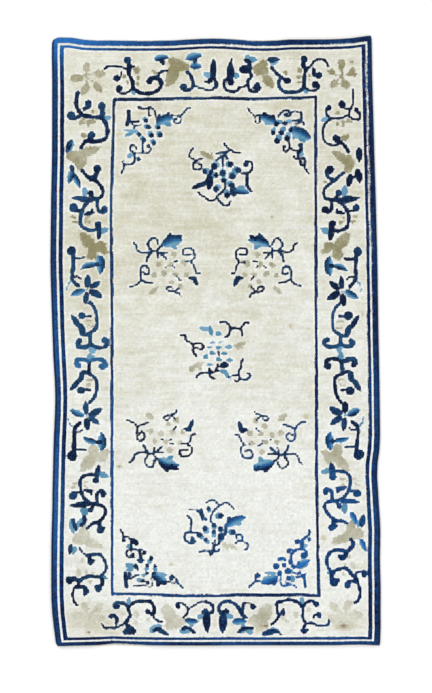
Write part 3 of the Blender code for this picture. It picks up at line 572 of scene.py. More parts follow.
         (-4.8, -7.6, 1.7), (1.5, -8.9, 1.5), (7, -9, 1.7), (-2.8, -10.9, 1.3))),
        camelLeaf((8.4, -2.8), (15.2, -0.1), 2.0), camelLeaf((9, -2.6), (12.6, -3.8), 1.5),
        camelLeaf((-12.9, -13.7), (-4.8, -9.6), 1.9), camelLeaf((-8, -11.6), (-6.4, -13.6), 1.4),
        line(1.1, (1.4, -4.6), (1.6, -7)),
        line(1.1, (-16.2, 2.7), (-14.4, 2.6), (-14, 0.6), (-12.6, -0.4), (-10.8, -1.7), (-10.7, -4.4),
             (-9.9, -6), (-9, -7.2)),
        line(1.1, (-10.8, -1.7), (-8.6, -0.8), (-6.6, -1.4), (-5.8, -2.8), (-7, -4), (-9.2, -3.3)),
        line(1.1, (-8.6, -16.7), (-7.8, -15.4), (-5.4, -14.6), (-3.2, -15), (-2.4, -16.8), (-0.2, -17.6)),
        line(1.1, (-3.1, -12.6), (-2.7, -14.6)), line(1.1, (-2.6, -14.8), (-0.4, -14), (1.4, -13.6)),
        line(1.0, (-0.4, -13.9), (0.8, -10.9)), leaf((1.8, -11.8), (6.6, -11.4), 2.4, 0.4),
        skyLeaf((1.6, -14), (5.6, -13.8), 1.6), skyLeaf((3.4, -13), (6.8, -18), 1.9),
        line(1.1, (12.8, -8.6), (12, -9.8), (12.1, -11.8), (11, -14), (11, -15.6), (11.7, -17.4),
             (10.4, -18.9), (8.4, -18.2)),
        line(1.0, (6.2, -16.6), (8.4, -16), (10.8, -15.6)),
        line(1.1, (11.6, -17.2), (13.8, -18.1), (15.9, -17.2), (16.4, -15.8), (15.4, -15)),
    )},
}

# Dark and pale stripes at the rim: each row is a line around the rug, its distance in from each side in mm.
# Wool between the first two rows, and between the last two, is navy.
rimStripes = (
    {"left": -20.0, "right": -20.0, "rightLow": 0.0, "top": -20.0, "bottom": -20.0},
    {"left": 13.1, "right": 11.0, "rightLow": 3.4, "top": 12.2, "bottom": 9.0},
    {"left": 17.8, "right": 14.9, "rightLow": 3.8, "top": 16.9, "bottom": 12.4},
    {"left": 26.6, "right": 22.3, "rightLow": 4.4, "top": 23.4, "bottom": 19.4},
)

# The single line around the field, in knots from the rug's middle
fieldLine = {
    "width": 1.45,
    "blue": 0.18,
    "path": ((-47.3, 112.8), (-35, 112.6), (-25, 113), (-10, 113.2), (0, 113.5), (10, 113), (20, 113),
             (30, 113.3), (40, 113.4), (46.8, 114), (46.7, 100), (46.8, 60), (46.9, 20), (47.1, -20),
             (47.1, -60), (47.8, -100), (48.2, -119), (38, -118.4), (20, -118.7), (10, -118.4), (0, -119),
             (-20, -118.8), (-40, -118), (-48.2, -118.2), (-48.3, -90), (-48.4, -30), (-48.3, 20),
             (-48.8, 62), (-47.8, 95), (-47.3, 112.8)),
}

# Patches of yarn from a bluer dye lot: middle and reach in knots, and how much bluer
dyeLots = (
    {"x": -66, "y": 139, "wide": 24, "tall": 9, "bluer": 0.55},
    {"x": -76, "y": 110, "wide": 3, "tall": 22, "bluer": 0.2},
    {"x": -30, "y": 141, "wide": 60, "tall": 3, "bluer": 0.25},
    {"x": -76, "y": -10, "wide": 4, "tall": 60, "bluer": 0.3},
    {"x": -76, "y": -80, "wide": 5, "tall": 40, "bluer": 0.36},
    {"x": -48, "y": -60, "wide": 3, "tall": 70, "bluer": 0.25},
    {"x": -49, "y": 66, "wide": 3, "tall": 14, "bluer": 0.28},
    {"x": -30, "y": -118.5, "wide": 34, "tall": 3, "bluer": 0.2},
    {"x": 48, "y": -108, "wide": 3, "tall": 16, "bluer": 0.05},
    {"x": 20, "y": -139, "wide": 60, "tall": 3, "bluer": 0.25},
    {"x": 74, "y": -70, "wide": 6, "tall": 70, "bluer": 0.12},
)

# The figures of the lower right are knotted in the stripes' blue
royalCorner = {"x": 48, "y": -105, "wide": 48, "tall": 62}

# Camel yarn keeps its colour at the top and has faded below: middle and reach in knots, and how much stronger
tanLots = (
    {"x": -60, "y": 124, "wide": 10, "tall": 9, "stronger": -0.33},
    {"x": 59, "y": 124, "wide": 10, "tall": 9, "stronger": -0.1},
    {"x": -60, "y": 86, "wide": 10, "tall": 9, "stronger": -0.14},
    {"x": -57, "y": 44, "wide": 10, "tall": 10, "stronger": 0.4},
    {"x": 57, "y": 44, "wide": 10, "tall": 10, "stronger": 0.18},
    {"x": 0, "y": 30, "wide": 40, "tall": 20, "stronger": -0.06},
    {"x": 24, "y": -45, "wide": 12, "tall": 11, "stronger": 0.16},
    {"x": 63, "y": -89, "wide": 10, "tall": 8, "stronger": 0.26},
    {"x": -20, "y": -128, "wide": 10, "tall": 9, "stronger": 0.12},
    {"x": 22, "y": -128, "wide": 10, "tall": 9, "stronger": 0.28},
    {"x": 60, "y": -50, "wide": 14, "tall": 14, "stronger": 0.2},
    {"x": -60, "y": -129, "wide": 12, "tall": 10, "stronger": 0.1},
)

# Marks of age on the pale wool: middle and reach in knots, tint (warm or grey) and strength
marks = (
    {"x": 0, "y": 70, "wide": 44, "tall": 60, "warm": 0.1},
    {"x": -34, "y": 45, "wide": 16, "tall": 34, "warm": 0.25},
    {"x": -58, "y": 33, "wide": 9, "tall": 27, "warm": 0.7},
    {"x": 57, "y": 8, "wide": 8, "tall": 24, "warm": 0.05},
    {"x": 0, "y": 125, "wide": 80, "tall": 10, "warm": -0.2},
    {"x": -15, "y": 127, "wide": 13, "tall": 9, "warm": 0.65},
    {"x": 8, "y": -128, "wide": 24, "tall": 10, "warm": 0.4},
    {"x": 63.5, "y": 130, "wide": 1.2, "tall": 0.9, "warm": 1.75},
    {"x": -59.4, "y": -136, "wide": 0.9, "tall": 0.7, "warm": 2.1},
    {"x": 60, "y": -133, "wide": 3.2, "tall": 1.8, "warm": 1.4},
    {"x": 60, "y": -130.5, "wide": 11, "tall": 5.5, "warm": 0.75},
    {"x": -56, "y": -131, "wide": 14, "tall": 6.5, "warm": 0.75},
    {"x": 21.6, "y": -133, "wide": 2.6, "tall": 1.8, "warm": 1.35},
    {"x": 23.7, "y": -132.8, "wide": 0.8, "tall": 0.8, "warm": 2.1},
    {"x": 50.5, "y": -92, "wide": 1.6, "tall": 0.8, "warm": 1.85},
    {"x": 42, "y": -35.5, "wide": 0.9, "tall": 0.7, "warm": 2.0},
    {"x": -45, "y": -58.4, "wide": 1.2, "tall": 0.9, "warm": 1.6},
    {"x": 35.2, "y": 7, "wide": 0.9, "tall": 0.8, "warm": 1.5},
    {"x": 68.3, "y": 12.6, "wide": 0.6, "tall": 0.5, "warm": 2.2},
    {"x": 26.6, "y": 57.6, "wide": 0.7, "tall": 0.6, "warm": 2.0},
    {"x": -20.8, "y": -104.1, "wide": 0.9, "tall": 0.7, "warm": 1.6},
    {"x": 0, "y": -90, "wide": 44, "tall": 40, "warm": -0.35},
)


def readOutline(node):
    # the corners and the four sides of the rug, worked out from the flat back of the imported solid
    back = {(round(v.co.x, 6), round(v.co.y, 6)) for v in node.data.vertices if v.co.z < 0.01 * millimetre}
    loop = sorted(back, key=lambda p: atan2(p[1], p[0]))
    corners = [max(range(len(loop)), key=lambda i: sx * loop[i][0] + sy * loop[i][1])
               for sx, sy in ((-1, -1), (1, -1), (1, 1), (-1, 1))]
    sides = []
    for start, end in zip(corners, corners[1:] + corners[:1]):
        steps = (end - start) % len(loop)
        sides.append(np.array([loop[(start + k) % len(loop)] for k in range(steps + 1)]))
    bottom, right, top, left = sides
    return {"bottom": bottom, "right": right, "top": top[::-1], "left": left[::-1]}


outline = readOutline(rug)


def alongSide(side, axis, share):
    # how far a side stands out, at a share of the way along it
    places = side[:, 1 - axis]
    shares = (places - places[0]) / (places[-1] - places[0])
    return np.interp(share, shares, side[:, axis])


def onRug(across, up):
    # world place, in metres, of a place given in knots from the lower left corner of an even rug
    u, v = across / weave["across"], up / weave["up"]
    x = (1 - u) * alongSide(outline["left"], 0, v) + u * alongSide(outline["right"], 0, v)
    y = (1 - v) * alongSide(outline["bottom"], 1, u) + v * alongSide(outline["top"], 1, u)
    return x, y


def smoothPath(points, steps=5):
    # a curve through the points
    p = np.array([points[0], *points, points[-1]], float)
    curve = []
    for a, b, c, d in zip(p, p[1:], p[2:], p[3:]):
        for t in np.arange(steps) / steps:
            curve.append(0.5 * (2 * b + (c - a) * t + (2 * a - 5 * b + 4 * c - d) * t ** 2
                                + (3 * b - a - 3 * c + d) * t ** 3))
    return np.array([*curve, p[-1]])


def ribOf(base, tip, bow, steps=10):
    # a leaf's rib, bent to its left by the bow
    base, tip = np.array(base, float), np.array(tip, float)
    share = np.linspace(0, 1, steps + 1)[:, None]
    side = np.array([base[1] - tip[1], tip[0] - base[0]])
    side = side / np.hypot(*side)
    return base + (tip - base) * share + side * bow * 4 * share * (1 - share)


def strokeDepth(x, y, path, radii):
    # how deep each place lies inside a stroke, and on which side of its middle line, in knots
    depth = np.full(x.shape, -9.0)
    lean = np.zeros(x.shape)
    for start, end, r0, r1 in zip(path, path[1:], radii, radii[1:]):
        dx, dy = end - start
        long = dx * dx + dy * dy + 1e-9
        t = np.clip(((x - start[0]) * dx + (y - start[1]) * dy) / long, 0, 1)
        gap = np.hypot(x - start[0] - t * dx, y - start[1] - t * dy)
        here = r0 + (r1 - r0) * t - gap
        nearer = here > depth
        depth = np.where(nearer, here, depth)
        lean = np.where(nearer, (dx * (y - start[1]) - dy * (x - start[0])) / np.sqrt(long), lean)
    return depth, lean


def blankCloth(x, y):
    # plain cloth before any figure is knotted: depths into each yarn's figures, and the dye of each
    cloth = {yarn: np.full(x.shape, -9.0) for yarn in ("navy", "sky", "camel")}
    cloth.update(x=x, y=y, blue=np.full(x.shape, 0.25), teal=np.full(x.shape, 0.5), royal=np.zeros(x.shape))
    return cloth


def knotIn(cloth, yarn, near, depth, dye=None, royal=0):
    # adds one shape to the places that the mask near names. royal is the stronger blue of the stripes
    was = cloth[yarn][near]
    nearer = depth > was
    cloth[yarn][near] = np.where(nearer, depth, was)
    lot = {"navy": "blue", "sky": "teal"}.get(yarn)
    if lot and dye is not None:
        cloth[lot][near] = np.where(nearer, dye, cloth[lot][near])
        cloth["royal"][near] = np.where(nearer, royal, cloth["royal"][near])


hand = {
    "boldFrom": 1.25,         # strokes wider than this come out bolder, knots
    "bold": 0.16,
    "fine": 0.03,
    "widths": (0.96, 1.08),   # how evenly a shape keeps its width
    "swell": 0.12,            # how much a line swells and thins along its way
    "margin": 2.2,            # cloth that is worked out around a shape, knots
    "dye": 0.1,               # how far one shape's dye strays from its figure's
    "teal": 0.4,
}


def drawShape(cloth, shape, place, dye, rng):
    # place turns a point of the cartoon into a point of this copy
    points = [place(point) for point in shape["points"]]
    bold = hand["bold"] if shape["width"] > hand["boldFrom"] and shape["form"] != "ball" else hand["fine"]
    radius = shape["width"] / 2 * rng.uniform(*hand["widths"]) + bold
    if shape["form"] == "leaf":
        path = ribOf(points[0], points[1], shape["bow"] * place.turn)
        share = np.linspace(0, 1, len(path))
        radii = radius * np.sin(pi * np.clip(share, 0.02, 0.98) ** 0.85) ** 0.8
    elif shape["form"] == "ball":
        path = np.array(points, float)
        radii = np.full(2, radius)
    else:
        path = smoothPath(points)
        waves = np.sin(np.arange(len(path)) * 0.9 + rng.uniform(0, 6))
        radii = np.full(len(path), radius) * (1 + hand["swell"] * waves)
    reach = radii.max() + hand["margin"]
    low, high = path.min(axis=0) - reach, path.max(axis=0) + reach
    near = ((cloth["x"] > low[0]) & (cloth["x"] < high[0]) & (cloth["y"] > low[1]) & (cloth["y"] < high[1]))
    depth, lean = strokeDepth(cloth["x"][near], cloth["y"][near], path, radii)
    own = np.clip(dye + rng.uniform(-hand["dye"], hand["dye"]), 0, 1)
    teal = np.clip(0.45 + rng.uniform(-hand["teal"], hand["teal"]), 0, 1)
    if shape.get("light"):
        # the dark half runs through mid blue into the light half
        side = lean * place.turn * (1 if shape["light"] == "left" else -1)
        knotIn(cloth, "sky", near, depth, np.clip(0.9 - 0.45 * side, 0, 1))
        towardsLight = np.clip((side + 1.0) / 1.4, 0, 1)
        knotIn(cloth, "navy", near, np.minimum(depth, 0.5 - side), own + 0.7 * towardsLight)
    else:
        knotIn(cloth, shape["yarn"], near, depth, own if shape["yarn"] == "navy" else teal)


class Place:
    # where and how one copy of a figure lies
    def __init__(self, drawnAt, at, mirrored, flipped, stretch=(1, 1)):
        self.drawnAt, self.at = drawnAt, at
        self.ways = (-stretch[0] if mirrored else stretch[0], -stretch[1] if flipped else stretch[1])
        self.turn = -1 if mirrored != flipped else 1

    def __call__(self, point):
        return tuple(at + way * (p - o) for p, o, at, way in zip(point, self.drawnAt, self.at, self.ways))


# The end borders are narrower at the bottom, and the rows there are beaten down tighter.
endFigures = ("clubScroll", "endLeaf", "endTrefoil", "budScroll", "tealLeaves", "cornerFlower")
tightness = {"rows": 0.955, "bottomEnd": 0.86, "rightEnd": 0.93}


# How a colour fades along the rug: its strength in the middle, and the change with each row of knots
fade = {"royal": (0.55, -0.003), "tan": (0.6, 0.003), "age": (0.36, 0.0022)}


def fading(name, y):
    middle, change = fade[name]
    return middle + change * y


def drawFigures(cloth):
    # the same seeded order for every cloth, so the knots and the finer grid get the same figures
    rng = np.random.default_rng(weave["seed"])
    for name, where in quarters.items():
        for key, blue in zip(("at", "tr", "bl", "br"), where["blue"]):
            if key not in where:
                continue
            right, low = key.endswith("r"), key.startswith("b")
            atEnd = name in endFigures
            stretch = (tightness["rightEnd"] if right and atEnd else 1,
                       (tightness["bottomEnd"] if atEnd else tightness["rows"]) if low else 1)
            place = Place(where["at"], where[key], right, low, stretch)
            for shape in figures[name]:
                drawShape(cloth, shape, place, blue, rng)
    for figure in singleFigures.values():
        for shape in figure["shapes"]:
            drawShape(cloth, shape, Place((0, 0), (0, 0), False, False), figure["blue"], rng)
    path = np.array(fieldLine["path"])
    radii = np.full(len(path), fieldLine["width"] / 2)
    depth = strokeDepth(cloth["evenX"], cloth["evenY"], path, radii)[0]
    royal = fading("royal", cloth["y"]).ravel()
    knotIn(cloth, "navy", np.ones(depth.shape, bool), depth.ravel(), fieldLine["blue"], royal=royal)


def drawStripes(cloth, across, up):
    # the rim's stripes follow the rug's own uneven sides
    left, bottom = across * weave["knot"], up * weave["knot"]
    right, top = weave["across"] * weave["knot"] - left, weave["up"] * weave["knot"] - bottom
    low = 1 - up / weave["up"]
    inside = []
    for ring in rimStripes:
        fromSide = np.minimum(left - ring["left"], right - ring["right"] - low * ring["rightLow"])
        fromEnd = np.minimum(bottom - ring["bottom"], top - ring["top"])
        inside.append(np.minimum(fromSide, fromEnd) / weave["knot"])
    everywhere = np.ones(across.shape, bool)
    for outer, inner, blue in ((0, 1, 0.16), (2, 3, 0.12)):
        knotIn(cloth, "navy", everywhere, np.minimum(inside[outer], -inside[inner]).ravel(), blue, royal=1)


def waver(x, y, rng, size, amount):
    # slow seeded unevenness of the hand
    total = np.zeros(x.shape)
    for octave in (1.0, 1.9, 3.1):
        angle, phase = rng.uniform(0, 2 * pi), rng.uniform(0, 2 * pi)
        along = x * np.cos(angle) + y * np.sin(angle)
        total = total + np.sin(along * octave * 2 * pi / size + phase) / octave
    return total * amount


# The hand's slow waves: their length and how far they go, in knots or as a share of a dye
swing = {
    "lineX": (13, 0.08),
    "lineY": (11, 0.08),
    "figureX": (17, weave["drift"]),
    "figureY": (15, weave["drift"]),
    "stripeX": (12, 0.07),
    "stripeY": (14, 0.07),
    "blue": (9, 0.06),
    "tan": (12, 0.08),
    "age": (31, 0.07),
}


def softSpot(x, y, spot):
    return np.exp(-((x - spot["x"]) / spot["wide"]) ** 2 - ((y - spot["y"]) / spot["tall"]) ** 2)


def makeCloth(across, up):
    # figures and dyes at places given in knots from the lower left corner
    worldX, worldY = onRug(across, up)
    x, y = worldX / millimetre / weave["knot"], worldY / millimetre / weave["knot"]
    rng = np.random.default_rng(weave["seed"] + 1)
    evenX = x + waver(x, y, rng, *swing["lineX"])
    evenY = y + waver(x, y, rng, *swing["lineY"])
    x = x + waver(x, y, rng, *swing["figureX"])
    y = y + waver(x, y, rng, *swing["figureY"])
    cloth = blankCloth(x, y)
    cloth.update(evenX=evenX, evenY=evenY)
    drawFigures(cloth)
    stripeX = across + waver(across, up, rng, *swing["stripeX"])
    stripeY = up + waver(across, up, rng, *swing["stripeY"])
    drawStripes(cloth, stripeX, stripeY)
    for spot in dyeLots:
        cloth["blue"] = cloth["blue"] + softSpot(x, y, spot) * spot["bluer"]
    cloth["blue"] = np.clip(cloth["blue"] + waver(x * 0.2, y, rng, *swing["blue"]), 0, 1)
    cloth["royal"] = np.clip(cloth["royal"] + softSpot(x, y, royalCorner), 0, 1)
    tan = fading("tan", y) + sum(softSpot(x, y, spot) * spot["stronger"] for spot in tanLots)
    cloth["tan"] = np.clip(tan + waver(x, y, rng, *swing["tan"]), 0, 1)
    age = fading("age", y) + sum(softSpot(x, y, spot) * spot["warm"] for spot in marks)
    cloth["age"] = np.clip(age + waver(x * 0.4, y, rng, *swing["age"]), 0, 2)
    return cloth


centres = np.meshgrid(np.arange(weave["across"]) + 0.5, np.arange(weave["up"]) + 0.5)
knots = makeCloth(*centres)
byHand = np.random.default_rng(weave["seed"] + 2)
tuftSpread = 0.16    # how unevenly single knots stand, mm
yarnSlip = {"navy": 0.06, "sky": 0.2, "camel": 0.32}    # how far a knot strays over its figure's edge
knots["tuft"] = byHand.normal(0, tuftSpread, centres[0].shape)
knots["shade"] = byHand.normal(0, 1, centres[0].shape)
for yarn, slip in yarnSlip.items():
    knots[yarn] = knots[yarn] + byHand.normal(0, slip, centres[0].shape)
print("cartoon knotted:", int((knots["navy"] > 0).sum()), "navy knots of", centres[0].size)


def snap(line):
    # a place in a knot counts as the knot's middle, and one between two knots stays between them
    return np.where(np.abs(line - np.round(line)) < 0.01, np.round(line), np.floor(line) + 0.5)


def fromKnots(values, columns, rows):
    # reads the knot lattice at grid lines given in knots
    i, j = np.clip(snap(columns) - 0.5, 0, None), np.clip(snap(rows) - 0.5, 0, None)
    i0, j0 = np.minimum(i.astype(int), values.shape[1] - 2), np.minimum(j.astype(int), values.shape[0] - 2)
    ti, tj = (i - i0)[None, :], (j - j0)[:, None]
    lower = values[j0][:, i0] * (1 - ti) + values[j0][:, i0 + 1] * ti
    upper = values[j0 + 1][:, i0] * (1 - ti) + values[j0 + 1][:, i0 + 1] * ti
    return lower * (1 - tj) + upper * tj


cadTree = BVHTree.FromPolygons([v.co for v in rug.data.vertices], [p.vertices for p in rug.data.polygons])


def cadHeight(x, y):
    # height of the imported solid's top face under each place
    heights = np.zeros(x.size)
    for n, (px, py) in enumerate(zip(x.ravel(), y.ravel())):
        hit = cadTree.ray_cast(Vector((px, py, 1.0)), Vector((0, 0, -1)))[0]
        heights[n] = hit.z if hit else 0.0
    return heights.reshape(x.shape)


pile = {
    "root": 1.6,          # where the pile's block starts, inside the cotton ground, mm
    "firstColumn": 1.0,   # the pile starts behind the side cord
    "firstRow": 0.3,      # and behind the bare cotton end
    "lean": 0.6,          # how far the end rows fan out over the cotton, knots
    "leftSeam": 28,       # the blocks meet just outside the field's line
    "rightSeam": 126,
    "lowSeam": 23,
    "highSeam": 258,
    "carve": 0.55,        # depth of the clipped groove around the figures, mm
    "carveAt": 1.0,       # how far outside the figure it lies
    "carveWidth": 2.6,
    "ripple": 0.35,       # slow swell of the clipped surface, mm
    "rippleLong": 46,     # and its length, knots
    "flatUnder": 3.0,     # the relief starts where the pile is higher than this, mm
    "fullOver": 6.0,      # and is whole after this much more
    "bareUnder": 5.6,     # cotton shows where feet have worn the pile below this, mm
    "bareOver": 1.6,
    "crease": 70,         # sharper turns stay sharp, degrees
}


def knotLines(first, last):
    # grid lines a quarter knot either side of each knot's middle, with the block's own edges
    inner = [k + side for k in range(int(first), int(np.ceil(last))) for side in (0.25, 0.75)]
    return np.array([first, *[line for line in inner if first < line < last], last])


def addGrid(name, columns, rows):
    # one grid from Blender, whose points are then moved; gives each point's column and row too
    bpy.ops.object.select_all(action="DESELECT")
    bpy.ops.mesh.primitive_grid_add(x_subdivisions=len(columns) - 1, y_subdivisions=len(rows) - 1, size=1)
    piece = bpy.context.active_object
    piece.name = name
    piece.data.name = name
    flat = np.empty(len(piece.data.vertices) * 3)
    piece.data.vertices.foreach_get("co", flat)
    flat = flat.reshape(-1, 3)
    i = np.rint((flat[:, 0] + 0.5) * (len(columns) - 1)).astype(int)
    j = np.rint((flat[:, 1] + 0.5) * (len(rows) - 1)).astype(int)
    return piece, i, j


def setPoints(piece, x, y, z):
    piece.data.vertices.foreach_set("co", np.stack([x, y, z], axis=1).astype(np.float32).ravel())
    piece.data.update()


def addTrait(piece, name, values):
    trait = piece.data.attributes.new(name, "FLOAT", "POINT")
    trait.data.foreach_set("value", values.astype(np.float32))


def finishMesh(crease):
    # turns all faces outwards, and smooths the turns that are less sharp than the crease, in degrees
    bpy.ops.mesh.select_all(action="SELECT")
    bpy.ops.mesh.normals_make_consistent(inside=False)
    bpy.ops.mesh.select_all(action="DESELECT")
    bpy.ops.object.mode_set(mode="OBJECT")
    bpy.ops.object.shade_smooth_by_angle(angle=radians(crease))


def closeBelow(piece, levels, crease):
    # pulls the open rim down level by level, then closes it with one face
    bpy.context.view_layer.objects.active = piece
    for level in levels:
        bpy.ops.object.mode_set(mode="EDIT")
        bpy.ops.mesh.select_mode(type="EDGE")
        bpy.ops.mesh.select_all(action="DESELECT")
        bpy.ops.mesh.select_non_manifold()
        bpy.ops.mesh.extrude_edges_move()
        bpy.ops.object.mode_set(mode="OBJECT")
        for vertex in piece.data.vertices:
            if vertex.select:
                vertex.co.z = level * millimetre
    bpy.ops.object.mode_set(mode="EDIT")
    bpy.ops.mesh.select_all(action="DESELECT")
    bpy.ops.mesh.select_non_manifold()
    bpy.ops.mesh.edge_face_add()
    finishMesh(crease)


# Shares of the bake map: the side that people see, then a strip of walls, then a strip for the hidden side
bakeMap = {
    "facing": 0.3,        # how far a face must lean up or down to be no wall
    "margin": 0.002,
    "shownWide": 0.936,
    "shownTall": 0.996,
    "wallFrom": 0.945,
    "wallWide": 0.03,
    "endTall": 0.02,      # the two end walls lie across the strip's ends
    "endFrom": 0.97,
    "hiddenFrom": 0.98,
    "hiddenWide": 0.02,
}


def mapForBake(piece, shown):
    # shown is the side that people see, 1 for the top and -1 for the back. It gets most of the map.
    mesh = piece.data
    layer = mesh.uv_layers.new(name="OFBake")
    places = np.empty(len(mesh.vertices) * 3)
    mesh.vertices.foreach_get("co", places)
    places = places.reshape(-1, 3)
    share = (places - places.min(axis=0)) / (places.max(axis=0) - places.min(axis=0))
    corner = np.empty(len(mesh.loops), int)
    mesh.loops.foreach_get("vertex_index", corner)
    normals = np.empty(len(mesh.polygons) * 3)
    mesh.polygons.foreach_get("normal", normals)
    sizes = np.empty(len(mesh.polygons), int)
    mesh.polygons.foreach_get("loop_total", sizes)
    normals = normals.reshape(-1, 3)
    facing = np.repeat(normals[:, 2] * shown, sizes)
    endWall = np.repeat(np.abs(normals[:, 1]) > 0.7, sizes)
    u, v, w = share[corner].T
    main = facing > bakeMap["facing"]
    wall = np.abs(facing) <= bakeMap["facing"]
    uv = np.stack([bakeMap["hiddenFrom"] + bakeMap["hiddenWide"] * u, v], axis=1)
    shownU = bakeMap["margin"] + bakeMap["shownWide"] * u
    shownV = bakeMap["margin"] + bakeMap["shownTall"] * v
    uv[main] = np.stack([shownU, shownV], axis=1)[main]
    uv[wall] = np.stack([bakeMap["wallFrom"] + bakeMap["wallWide"] * w, v], axis=1)[wall]
    endU = bakeMap["wallFrom"] + bakeMap["wallWide"] * u
    endV = bakeMap["endTall"] * w + bakeMap["endFrom"] * np.round(v)
    ends = wall & endWall
    uv[ends] = np.stack([endU, endV], axis=1)[ends]
    layer.data.foreach_set("uv", uv.astype(np.float32).ravel())


def figureTraits(piece, i, j, columns, rows):
    # blends each knot's own yarn with the smooth figure, and writes what the yarn material reads
    across, up = np.meshgrid(columns, rows)
    smooth = makeCloth(across, up)
    step = weave["stepShare"]
    traits = {}
    for yarn in ("navy", "sky", "camel"):
        depth = step * fromKnots(knots[yarn], columns, rows) + (1 - step) * smooth[yarn]
        traits[yarn + "Depth"] = depth * weave["knot"]
    for dye in ("blue", "teal", "royal", "tan", "age", "shade"):
        traits[dye] = fromKnots(knots[dye], columns, rows)
    for name, values in traits.items():
        addTrait(piece, name, values[j, i])
    return across, up, traits


def makePile(name, columns, rows):
    piece, i, j = addGrid(name, columns, rows)
    across, up, traits = figureTraits(piece, i, j, columns, rows)
    x, y = onRug(across, up)
    lean = pile["lean"] * (np.exp(-up / 2) - np.exp(-(weave["up"] - up) / 2))
    full = cadHeight(*onRug(across, up + lean))
    rng = np.random.default_rng(weave["seed"] + 3)
    groove = np.exp(-((traits["navyDepth"] + pile["carveAt"]) / pile["carveWidth"]) ** 2) * pile["carve"]
    tuft = fromKnots(knots["tuft"], columns, rows)
    swell = waver(across, up, rng, pile["rippleLong"], pile["ripple"] / 2) - pile["ripple"] / 2
    soft = np.clip((full / millimetre - pile["flatUnder"]) / pile["fullOver"], 0, 1)
    z = full + (tuft - groove + swell) * soft * millimetre
    worn = np.clip((pile["bareUnder"] - full / millimetre) / pile["bareOver"], 0, 1)
    addTrait(piece, "worn", worn[j, i])
    setPoints(piece, x[j, i], y[j, i], z[j, i])
    closeBelow(piece, (pile["root"],), pile["crease"])
    mapForBake(piece, 1)
    return piece


lastColumn, lastRow = weave["across"] - pile["firstColumn"], weave["up"] - pile["firstRow"]
blocks = {
    "pileField": (pile["leftSeam"], pile["rightSeam"], pile["lowSeam"], pile["highSeam"]),
    "pileLeftBorder": (pile["firstColumn"], pile["leftSeam"], pile["firstRow"], lastRow),
    "pileRightBorder": (pile["rightSeam"], lastColumn, pile["firstRow"], lastRow),
    "pileTopBorder": (pile["leftSeam"], pile["rightSeam"], pile["highSeam"], lastRow),
    "pileBottomBorder": (pile["leftSeam"], pile["rightSeam"], pile["firstRow"], pile["lowSeam"]),
}
pileBlocks = [makePile(name, knotLines(left, right), knotLines(low, high))
              for name, (left, right, low, high) in blocks.items()]
print("pile blocks:", {piece.name: len(piece.data.polygons) for piece in pileBlocks})

ground = {
    "thick": 2.4,         # cotton warps and wefts, mm
    "edgeDrop": 0.9,      # where the rounded edge of the web turns, mm
    "inset": 0.4,         # how far it stays inside the side cords, knots
    "crease": 60,
}


def makeGround():
    # the cotton ground with the knots' backs under it, and its bare lips at the two ends
    middles = (np.arange(weave["across"]) + 0.5)[1:-1]
    columns = np.array([ground["inset"], *middles, weave["across"] - ground["inset"]])
    rows = np.array([0.0, *(np.arange(weave["up"]) + 0.5), weave["up"]])
    piece, i, j = addGrid("cottonGround", columns, rows)
    across, up = figureTraits(piece, i, j, columns, rows)[:2]
    x, y = onRug(across, up)
    setPoints(piece, x[j, i], y[j, i], np.zeros(len(i)))
    addTrait(piece, "worn", np.zeros(len(i)))
    closeBelow(piece, (ground["edgeDrop"], ground["thick"]), ground["crease"])
    mapForBake(piece, -1)
    return piece


cottonGround = makeGround()
print("cotton ground:", len(cottonGround.data.polygons))

sideCord = {
    "wide": 2.35,         # half its width, mm
    "tall": 2.55,         # half its height, mm
    "wrap": 3.2,          # one turn of the overcasting yarn, mm
    "around": 12,
    "perTurn": 3,         # sections in one turn of the yarn
    "ridge": 0.22,        # how far a turn stands out, mm
    "uneven": (60, 0.06),  # slow swell of the cord: length and height, mm
    "endGap": 0.15,       # how far it stops short of the rug's ends, knots
    "taper": 1.2,         # and thins towards them, knots
    "thinnest": 0.35,
    "inset": 0.15,        # how far it stays inside the solid's edge, mm
    "lift": 0.05,         # and above its back
    "crease": 80,
}


def makeSideCord(name, side):
    # the outer warps, overcast with navy wool, from one end of the rug to the other
    turns = weave["up"] * weave["knot"] / sideCord["wrap"]
    sections = int(turns * sideCord["perTurn"])
    along = np.linspace(sideCord["endGap"], weave["up"] - sideCord["endGap"], sections)
    angles = np.linspace(0, 2 * pi, sideCord["around"] + 1)
    piece, i, j = addGrid(name, angles, along)
    up, angle = along[j], angles[i]
    millimetresUp = up * weave["knot"]
    twist = 0.5 + 0.5 * np.cos(2 * pi * millimetresUp / sideCord["wrap"] + angle)
    rng = np.random.default_rng(weave["seed"] + 4)
    uneven = waver(millimetresUp, millimetresUp * 0, rng, *sideCord["uneven"])
    bulge = sideCord["ridge"] * (twist - 1) + uneven
    fromEnd = np.minimum(up, weave["up"] - up) / sideCord["taper"]
    taper = np.clip(fromEnd, sideCord["thinnest"], 1) ** 0.5
    edgeX, edgeY = onRug(np.where(side < 0, 0.0, weave["across"]) + 0 * up, up)
    middleX = edgeX - side * (sideCord["wide"] + sideCord["inset"]) * millimetre
    x = middleX + (sideCord["wide"] + bulge) * taper * np.cos(angle) * millimetre
    middleZ = sideCord["tall"] + sideCord["lift"]
    z = (middleZ + (sideCord["tall"] + bulge) * taper * np.sin(angle)) * millimetre
    setPoints(piece, x, edgeY, np.maximum(z, 0.0))
    addTrait(piece, "turn", angle / (2 * pi))
    bpy.ops.object.mode_set(mode="EDIT")
    bpy.ops.mesh.select_all(action="SELECT")
    bpy.ops.mesh.remove_doubles(threshold=0.01 * millimetre)
    bpy.ops.mesh.select_all(action="DESELECT")
    bpy.ops.mesh.select_non_manifold()
    bpy.ops.mesh.fill_holes(sides=0)
    finishMesh(sideCord["crease"])
    return piece


